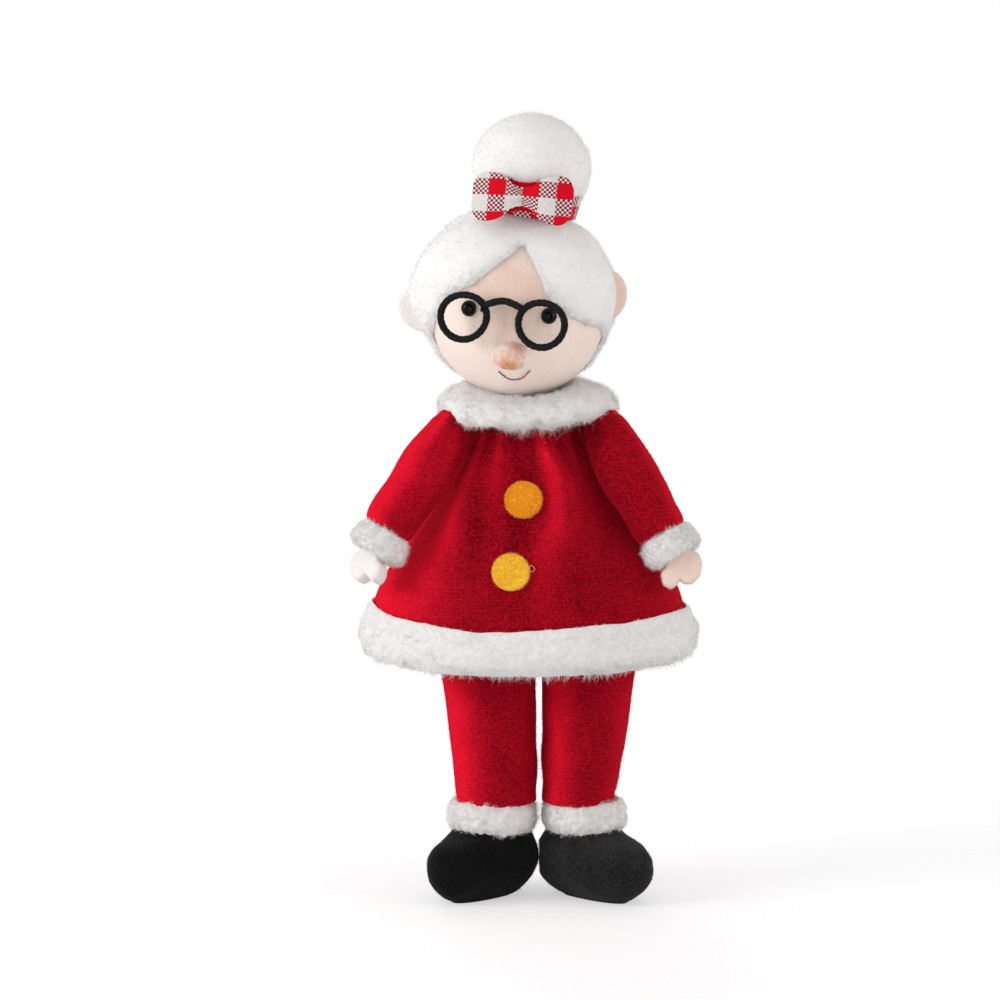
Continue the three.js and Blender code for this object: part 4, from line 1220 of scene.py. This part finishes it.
def make_hair():
    """A fleece cap over the ball, open at the face: it thins out to nothing at the hairline."""
    line = [from_nose(angle, hair_begins(angle)) * HEAD_RADIUS for angle in range(360)]
    tree = kdtree.KDTree(len(line))
    for index, spot in enumerate(line):
        tree.insert(spot, index)
    tree.balance()
    shares = [1 - (1 - k / 72) ** 1.7 for k in range(73)]
    profile = [(share, 1) for share in shares[:-1]] + [(1, 0)]
    profile += [(share, -1) for share in shares[-8::-8]]
    bm = turned([*profile, (0, -1)], 240)

    def shape(spot, normal):
        angle = degrees(atan2(spot.y, spot.x))
        share = min(spot.xy.length, 1)
        way = from_nose(angle, 180 - (180 - hair_begins(angle)) * share)
        depth = 0
        if spot.z > 0.5:
            away = tree.find(way * HEAD_RADIUS)[2]
            edge = HAIR_EDGE * (1 - exp(-away / HAIR_EDGE))
            away = min(away / HAIR_ROUND, 1)
            depth = edge + (hair_depth(way) - HAIR_EDGE) * away * (2 - away) * (0.5 + 0.5 * away)
            depth += away * (0.35 * noise.noise(way * 3.2) + 0.1 * noise.noise(way * 9))
        return way * (HEAD_RADIUS + 0.15 + depth)

    sculpt(bm, shape)
    face_outwards(bm)
    hair = piece("fleece_hair", bm, white_hair, "head", "white_hair",
                 ["right_front_hair", "left_front_hair", "back_hair"], HEAD)

    middle = np.array(HEAD_CENTRE)
    turn = np.array(HEAD.to_3x3())
    begins = np.array([hair_begins(angle) for angle in range(361)])

    def outwards(place, normal):
        return (((place - middle) * normal).sum(1) > 0) * 1.0

    def polar(place):
        way = (place - middle) @ turn
        way /= np.linalg.norm(way, axis=1)[:, None]
        angle = np.degrees(np.arctan2(way @ np.array(FACE_UP), way @ np.array(FACE_ACROSS))) % 360
        away = np.degrees(np.arccos(np.clip(way @ np.array(FACE_AXIS), -1, 1)))
        return way, away - begins[angle.astype(int)]

    def edge(place, normal):
        away = polar(place)[1]
        return outwards(place, normal) * np.exp(-(((away - 1) / 5) ** 2))

    def towards_face(place):
        way = polar(place)[0]
        onwards = np.array(FACE_AXIS) - way * (way @ np.array(FACE_AXIS))[:, None]
        return onwards / np.linalg.norm(onwards, axis=1)[:, None] @ turn.T * 1.5

    fibres("hair_fuzz", hair, 15000, 0.75, 0.06, 60, hair_fibre, lay=1.0, curl=0.8, clump=0.1, keep=outwards)
    fibres("hairline_fuzz", hair, 4500, 1.3, 0.05, 61, hair_fibre, lay=0.7, curl=0.9, clump=0.15,
           comb=towards_face, keep=edge)
    for side, (look, nap) in SKINS.items():
        made = softened(f"felt_{side}_ear", f"{side}_ear", look, "head", "skin_felt", 0.25, 6, 0.12)
        fibres(f"{side}_ear_nap", made, 900, 0.4, 0.05, 70 + len(side), nap, lay=0.9, clump=0)


def make_bun():
    arc = []
    for turn in np.radians(np.linspace(64, 180, 40)):
        arc.append((BUN_RADIUS * sin(turn), BUN_UP - BUN_HEIGHT * cos(turn)))
    base = curve_through([(BUN_BASE_RADIUS - 1.2, BUN_BASE_UP - 0.6), (BUN_BASE_RADIUS, BUN_BASE_UP + 0.6),
                          arc[0]], 8)
    profile = base[:-1] + arc
    profile[-1] = (0, profile[-1][1])

    def shape(place, normal):
        angle = atan2(place.x, -place.y)
        gather = exp(-(((place.z - BUN_BASE_UP) / 3.5) ** 2))
        ripple = 0.28 * sin(angle * 19) + 0.2 * sin(angle * 13 + 1)
        dent = 0.3 * noise.noise(place / 6) + 0.06 * noise.noise(place / 2)
        return place + normal * (ripple * gather + dent)

    bm = sculpt(turned(profile, 140), shape)
    bun = piece("fleece_bun", bm, white_hair, "head", "white_hair", ["bun_cover"], HEAD)
    fibres("bun_fuzz", bun, 8000, 0.7, 0.055, 81, hair_fibre, lay=1.0, curl=0.8, clump=0.1)


def cloth_strip(name, rows, columns, where, pattern, nodes):
    """A strip of gingham: where(u, v) is a point's place, and pattern(u, v) its place on the flat cloth."""
    bm = bmesh.new()
    ops.create_grid(bm, x_segments=len(columns) - 1, y_segments=len(rows) - 1, size=1)
    layer = bm.loops.layers.uv.new("cloth")
    spots = {}
    for vert in bm.verts:
        column = round((vert.co.x + 1) / 2 * (len(columns) - 1))
        row = round((vert.co.y + 1) / 2 * (len(rows) - 1))
        spots[vert] = (columns[column], rows[row])
    for face in bm.faces:
        for loop in face.loops:
            loop[layer].uv = pattern(*spots[loop.vert])
    for vert, spot in spots.items():
        vert.co = where(*spot)
    made = piece(name, joined(bm, 1e-3), check_cloth, "head", "gingham", nodes, HEAD)
    wall = made.modifiers.new("wall", "SOLIDIFY")
    wall.thickness = CLOTH_WALL * MM
    wall.offset = 0
    return settled(made)


def make_bow():
    """One wide loop of gingham, pinched in the middle by its own cloth, and a band round the bun."""
    reach = BOW_REACH
    around = 4 * reach + 4.8
    columns = list(np.linspace(0, around, 161))
    rows = list(np.linspace(-1, 1, 33))

    def shape(u):
        turn = u / around * TURN
        across = -reach * cos(turn)
        out = abs(across) / reach
        behind = turn > pi
        tall = ramp(out, BOW_OUT, BOW_HALF_HEIGHT)
        tall += 1.0 * behind * exp(-((out / 0.3) ** 2))
        return turn, across, out, behind, tall

    def where(u, v):
        turn, across, out, behind, tall = shape(u)
        puff = 0.7 + 1.3 * sin(min(out, 1) * pi) ** 0.9 * (1 - 0.35 * v * v)
        deep = BOW_DEPTH - puff * sin(turn)
        crease = exp(-((across / 2.0) ** 2))
        deep += crease * cos(v * 5.5) * (0.1 if behind else -0.3)
        droop = 0.07 * min(across, 0) - 0.25 * exp(-((out - 0.75) / 0.3) ** 2) * (v > 0) * v
        return Vector((across, deep, BOW_UP + droop + v * tall))

    def pattern(u, v):
        _, across, out, behind, tall = shape(u)
        if behind:
            gathered = across - 0.5 * max(-CHECK, min(across, CHECK))
            return (6.5 * CHECK - gathered, abs(v) * tall + 0.2)
        return (across, v * (tall + 1.2 * exp(-((out / 0.3) ** 2))) - 0.3)

    bow = cloth_strip("gingham_bow", rows, columns, where, pattern, ["bow"])

    ring = TURN * BAND_RADIUS
    columns = list(np.linspace(ring * 0.34, ring * 0.71, 101))
    rows = list(np.linspace(0, BAND_HEIGHT, 7))

    def band(u, v):
        turn = u / ring * TURN
        wide = BAND_RADIUS + v / BAND_HEIGHT * 1.1 + 0.12 * sin(turn * 11) + 0.1
        wide -= 1.6 * max(0.0, (0.5 - u / ring) / 0.16 - 0.5)
        sag = 0.25 * sin(turn * 3)
        return Vector((-wide * sin(turn), wide * cos(turn), BAND_UP + v + sag))

    cloth_strip("gingham_band", rows, columns, band, lambda u, v: (u, v + 0.5), ["bun_band"])


def make_head():
    make_face()
    make_glasses()
    make_hair()
    make_bun()
    make_bow()
    neck = softened("jersey_neck", "neck", skin_felt, "neck", "stuffing", 0.6, 3)


# Arms


def arm_place(arm):
    turn, lean = -arm["side"] * SHOULDER_TURN, -arm["side"] * arm["lean"]
    return (
        Matrix.Translation(arm["pivot"])
        @ Matrix.Rotation(radians(turn), 4, "Z")
        @ Matrix.Rotation(radians(-ARM_FORWARD), 4, "X")
        @ Matrix.Rotation(radians(lean), 4, "Y")
    )


def make_arm(name, arm, seed, coat):
    body = f"{name}_arm"
    place = arm_place(arm)
    length = arm["length"]
    side = arm["side"]
    cap = [(SHOULDER_RADIUS * cos(turn), SHOULDER_RADIUS * sin(turn))
           for turn in np.radians((18, 36, 54, 72))]
    outline = curve_through([
        (2.2, -length + 0.1), (SLEEVE_RADIUS - 1.2, -length), (SLEEVE_RADIUS - 0.3, -length + 1.0),
        (SLEEVE_RADIUS, -length * 0.8), (SLEEVE_RADIUS, -length * 0.5), (SLEEVE_RADIUS * 0.92, -length * 0.2),
        (SHOULDER_RADIUS * 1.1, 0), *cap, (0, SHOULDER_RADIUS)], 74)
    bm = turned([(0, -length + 0.1), *outline[:-1], (0, SHOULDER_RADIUS)], 90)

    def shape(spot, normal):
        angle = atan2(spot.x, -spot.y)
        gather = exp(-((spot.z / 5) ** 2)) * 0.2 * sin(angle * 6 + seed)
        crease = 0.1 * sin(spot.z * 0.55 + 2.0 * sin(angle + seed) + seed)
        dent = 0.34 * noise.noise(spot / 5.5 + Vector((seed, 0, 0)))
        high = exp(-(((spot.z + 5) / 6.5) ** 2))
        outwards = max(0.0, normal.x * side) * 0.7
        forwards = max(0.0, -normal.y * 0.8 - normal.x * side * 0.6) * 1.1
        moved = spot + normal * (gather + crease + dent + high * (outwards + forwards))
        shoulder = min(max((moved.z + 5) / 7, 0), 1) ** 1.5
        low = min(max(-moved.z / length, 0), 1)
        return moved + Vector((0.6 * side, 0, 2.4)) * shoulder + Vector((side * arm["sway"] * low, 0, 0))

    sculpt(bm, shape)
    sleeve = piece(f"{name}_fleece_sleeve", bm, red_fleece, body, "red_fleece", [f"{name}_sleeve"], place)
    clear_of(sleeve, coat, 0.2)
    fibres(f"{name}_sleeve_nap", sleeve, 5600, 0.5, 0.06, 100 + seed, red_nap, lay=1.1, curl=0.6)

    top = -length - SEAT
    outer = CUFF_RADIUS - PILE_INSET
    bottom = top - CUFF_HEIGHT + PILE_INSET
    aside = side * arm["sway"] * 0.8
    section = curve_through([
        (WRIST_RADIUS, top - 0.3), (WRIST_RADIUS, bottom + 0.6), (outer - 1.6, bottom),
        (outer - 0.2, bottom + 1.2), (outer, (top + bottom) / 2), (outer - 0.5, top - 0.5), (4.2, top)],
        30, closed=True)
    cuff = pile_ring(f"{name}_pile_cuff", section, 150, body, f"{name}_cuff_trim",
                     [lumps(2.4, 0.3, 4 + seed), lumps(1.0, 0.3, 5 + seed), slid(aside, 0, 0)], place)
    fibres(f"{name}_cuff_fibres", cuff, 6500, 0.95, 0.075, 110 + seed, pile_fibre, lay=0.9, curl=1.1,
           clump=0.4)

    look, nap = SKINS[name]
    hand = softened(f"{name}_felt_hand", f"{name}_hand", look, body, "skin_felt", 0.3, 7, 0.3,
                    (3.0, 0.12, seed))
    hand.data.transform(Matrix.Translation(place.to_3x3() @ (Vector((aside, 0, 0.5)) * MM)))
    fibres(f"{name}_hand_nap", hand, 1800, 0.4, 0.05, 120 + seed, nap, lay=0.9, curl=0.6, clump=0)


# Legs


def leg_middle(leg, half_width):
    return LEG_PLANE + leg["side"] * (LEG_GAP / 2 + half_width)


def make_leg(name, leg, seed):
    body = f"{name}_leg"
    side, hip, ankle, trim = leg["side"], leg["hip"], leg["ankle"], leg["trim"]
    inside = trim - PILE_WALL - SEAT
    profile = [(0, TROUSER_BOTTOM)]
    profile += [(inside * k / 4, TROUSER_BOTTOM) for k in (2, 3)]
    profile += [(inside, TROUSER_BOTTOM + 0.3), (inside, ANKLE_TOP - 0.9)]
    for height in np.linspace(ANKLE_TOP, HIP, 60):
        share = (height - ANKLE_TOP) / (HIP - ANKLE_TOP)
        profile.append((ankle + (hip - ankle) * share, height))
    for k in range(1, 12):
        angle = radians(k / 12 * 90)
        profile.append((hip * cos(angle), HIP + LEG_HALF_DEPTH * sin(angle)))
    profile.append((0, HIP + LEG_HALF_DEPTH))

    def shape(spot, normal):
        share = min(max((spot.z - ANKLE_TOP) / (HIP - ANKLE_TOP), 0), 1)
        half_width = ankle + (hip - ankle) * share
        half_depth = ANKLE_HALF_DEPTH + (LEG_HALF_DEPTH - ANKLE_HALF_DEPTH) * share
        in_trim = spot.z < ANKLE_TOP - 0.5
        angle = atan2(spot.x, -spot.y)
        crease = 0.12 * sin(spot.z * 0.5 + 1.7 * sin(angle + seed) + seed)
        dent = 0.32 * noise.noise(spot / 6.5 + Vector((0, seed, 0)))
        rise = (0 if in_trim else crease + dent) * min(1, abs(spot.z - ANKLE_TOP) / 3)
        rise += max(0.0, normal.x * side) * ramp(spot.z, [19, 23, 30, 40, 50], leg["bulge"])
        y = spot.y if in_trim else spot.y * half_depth / half_width
        across = leg_middle(leg, trim if in_trim else half_width)
        place = Vector((spot.x + across, y, spot.z)) + normal * rise
        place.x = side * max(side * place.x, side * LEG_PLANE + 0.35)
        return place

    bm = sculpt(turned(profile, 110), shape)
    trouser = piece(f"{name}_fleece_trouser", bm, red_fleece, body, "red_fleece", [f"{name}_trouser_leg"])
    bare = lambda place, normal: (place[:, 2] > ANKLE_TOP - 1) * 1.0
    fibres(f"{name}_trouser_nap", trouser, 6500, 0.6, 0.065, 130 + seed, red_nap, lay=1.0, curl=0.7,
           keep=bare)

    outer = trim - PILE_INSET * 0.2
    inner = trim - PILE_WALL
    bottom = ANKLE_TOP - ANKLE_TRIM_HEIGHT + 0.1
    section = curve_through([
        (inner, ANKLE_TOP - 0.4), (inner, bottom + 0.4), (inner + 0.6, bottom), (outer, bottom + 1.3),
        (outer + 0.15, (bottom + ANKLE_TOP) / 2), (outer, ANKLE_TOP - 1.2), (inner + 0.6, ANKLE_TOP)],
        30, closed=True)
    ring = pile_ring(f"{name}_pile_ankle", section, 220, body, f"{name}_ankle_trim",
                     [slid(leg_middle(leg, trim), 0, 0), lumps(2.4, 0.3, 8 + seed),
                      lumps(0.95, 0.32, 9 + seed)])
    outwards = lambda place, normal: np.where(side * (place[:, 0] - LEG_PLANE) > 1.2, 1.0, 0.6)
    fibres(f"{name}_ankle_fibres", ring, 7000, 1.0, 0.075, 140 + seed, pile_fibre, lay=0.9, curl=1.1,
           clump=0.5, keep=outwards)
    make_boot(name, leg, seed)


def make_boot(name, leg, seed):
    """A stuffed felt boot: a round ankle over a bulging foot that points forwards and out."""
    levels = np.array(BOOT_LEVELS)
    top = levels[-1, 0]
    side = leg["side"]
    profile = [(0, 0), (0.4, 0), (0.75, 0), (1, 0)]
    profile += [(1, height) for height in np.linspace(0.15, top, 58)]
    profile += [(0.8, top), (0.4, top), (0, top)]
    turn = radians(side * TOE_OUT)
    forwards = Vector((sin(turn), -cos(turn), 0))
    sidewards = Vector((cos(turn), sin(turn), 0))
    ankle = leg_middle(leg, leg["trim"])

    def shape(spot, normal):
        toe, heel, wide = (smooth_between(spot.z, levels[:, 0], levels[:, k]) for k in (1, 2, 3))
        slim = (WIDEST_TRIM - leg["trim"]) * ramp(spot.z, [11.0, 13.5], [0, 1])
        full = ramp(spot.z, [9.0, 13.0], [leg["boot"], 1])
        along, across = -spot.y, spot.x
        reach = (toe if along > 0 else heel) * full - slim
        place = Vector((ankle, 0, spot.z)) + forwards * along * reach
        place += sidewards * across * (wide * full - slim)
        place += Vector((0, 0, 0.5 * noise.noise(place / 8) * min(1, spot.z / 4)))
        place.x = side * max(side * place.x, side * LEG_PLANE + 0.15)
        return place

    bm = sculpt(turned(profile, 130), shape)
    dent = lumps(6.0, 0.3, 12 + seed)
    sculpt(bm, lambda place, normal: dent(place, normal) if place.z > 0.5 else place)
    for vert in bm.verts:
        vert.co.z = max(vert.co.z, 0)
    look = black_felt if name == "right" else charcoal_felt
    boot = piece(f"{name}_felt_boot", bm, look, f"{name}_leg", "black_felt", [f"{name}_boot"])
    above = lambda place, normal: (place[:, 2] > 0.8) * (place[:, 2] < ANKLE_TOP - 5) * 1.0
    fibres(f"{name}_boot_nap", boot, 4500, 0.45, 0.05, 150 + seed, black_nap, lay=0.9, curl=0.6, keep=above)


def dress(look, *nodes):
    """Gives CAD nodes that stay a better material."""
    for node in nodes:
        slots = frame["nodes"][node].data.materials
        slots.clear()
        slots.append(look.material)


backdrop()
fleece_coat = make_torso()
make_head()
for seed, (name, arm) in enumerate(ARMS.items()):
    make_arm(name, arm, seed, fleece_coat)
for seed, (name, leg) in enumerate(LEGS.items()):
    make_leg(name, leg, seed)
made = bpy.data.objects
# Painted light and shade on the fleece pieces, stored in their nap attribute
paint_light_and_shade(fleece_coat, COAT_PAINTED_LIGHT, made["pile_collar"], painted_fold_shading=coat_fold_painted_shading)
for side, painted_light in SLEEVE_PAINTED_LIGHTS.items():
    paint_light_and_shade(made[f"{side}_fleece_sleeve"], painted_light, fleece_coat, made["pile_collar"])
for side, other in (("right", "left"), ("left", "right")):
    paint_light_and_shade(made[f"{side}_fleece_trouser"], TROUSER_PAINTED_LIGHT, made[f"{other}_fleece_trouser"], made["pile_hem"])
dress(filling, "head_stuffing", "bun_stuffing", *(
    f"{side}_{part}_stuffing" for side in ("right", "left") for part in ("arm", "leg", "boot")
))
dress(red_stitch, "right_shoulder_tack", "left_shoulder_tack")
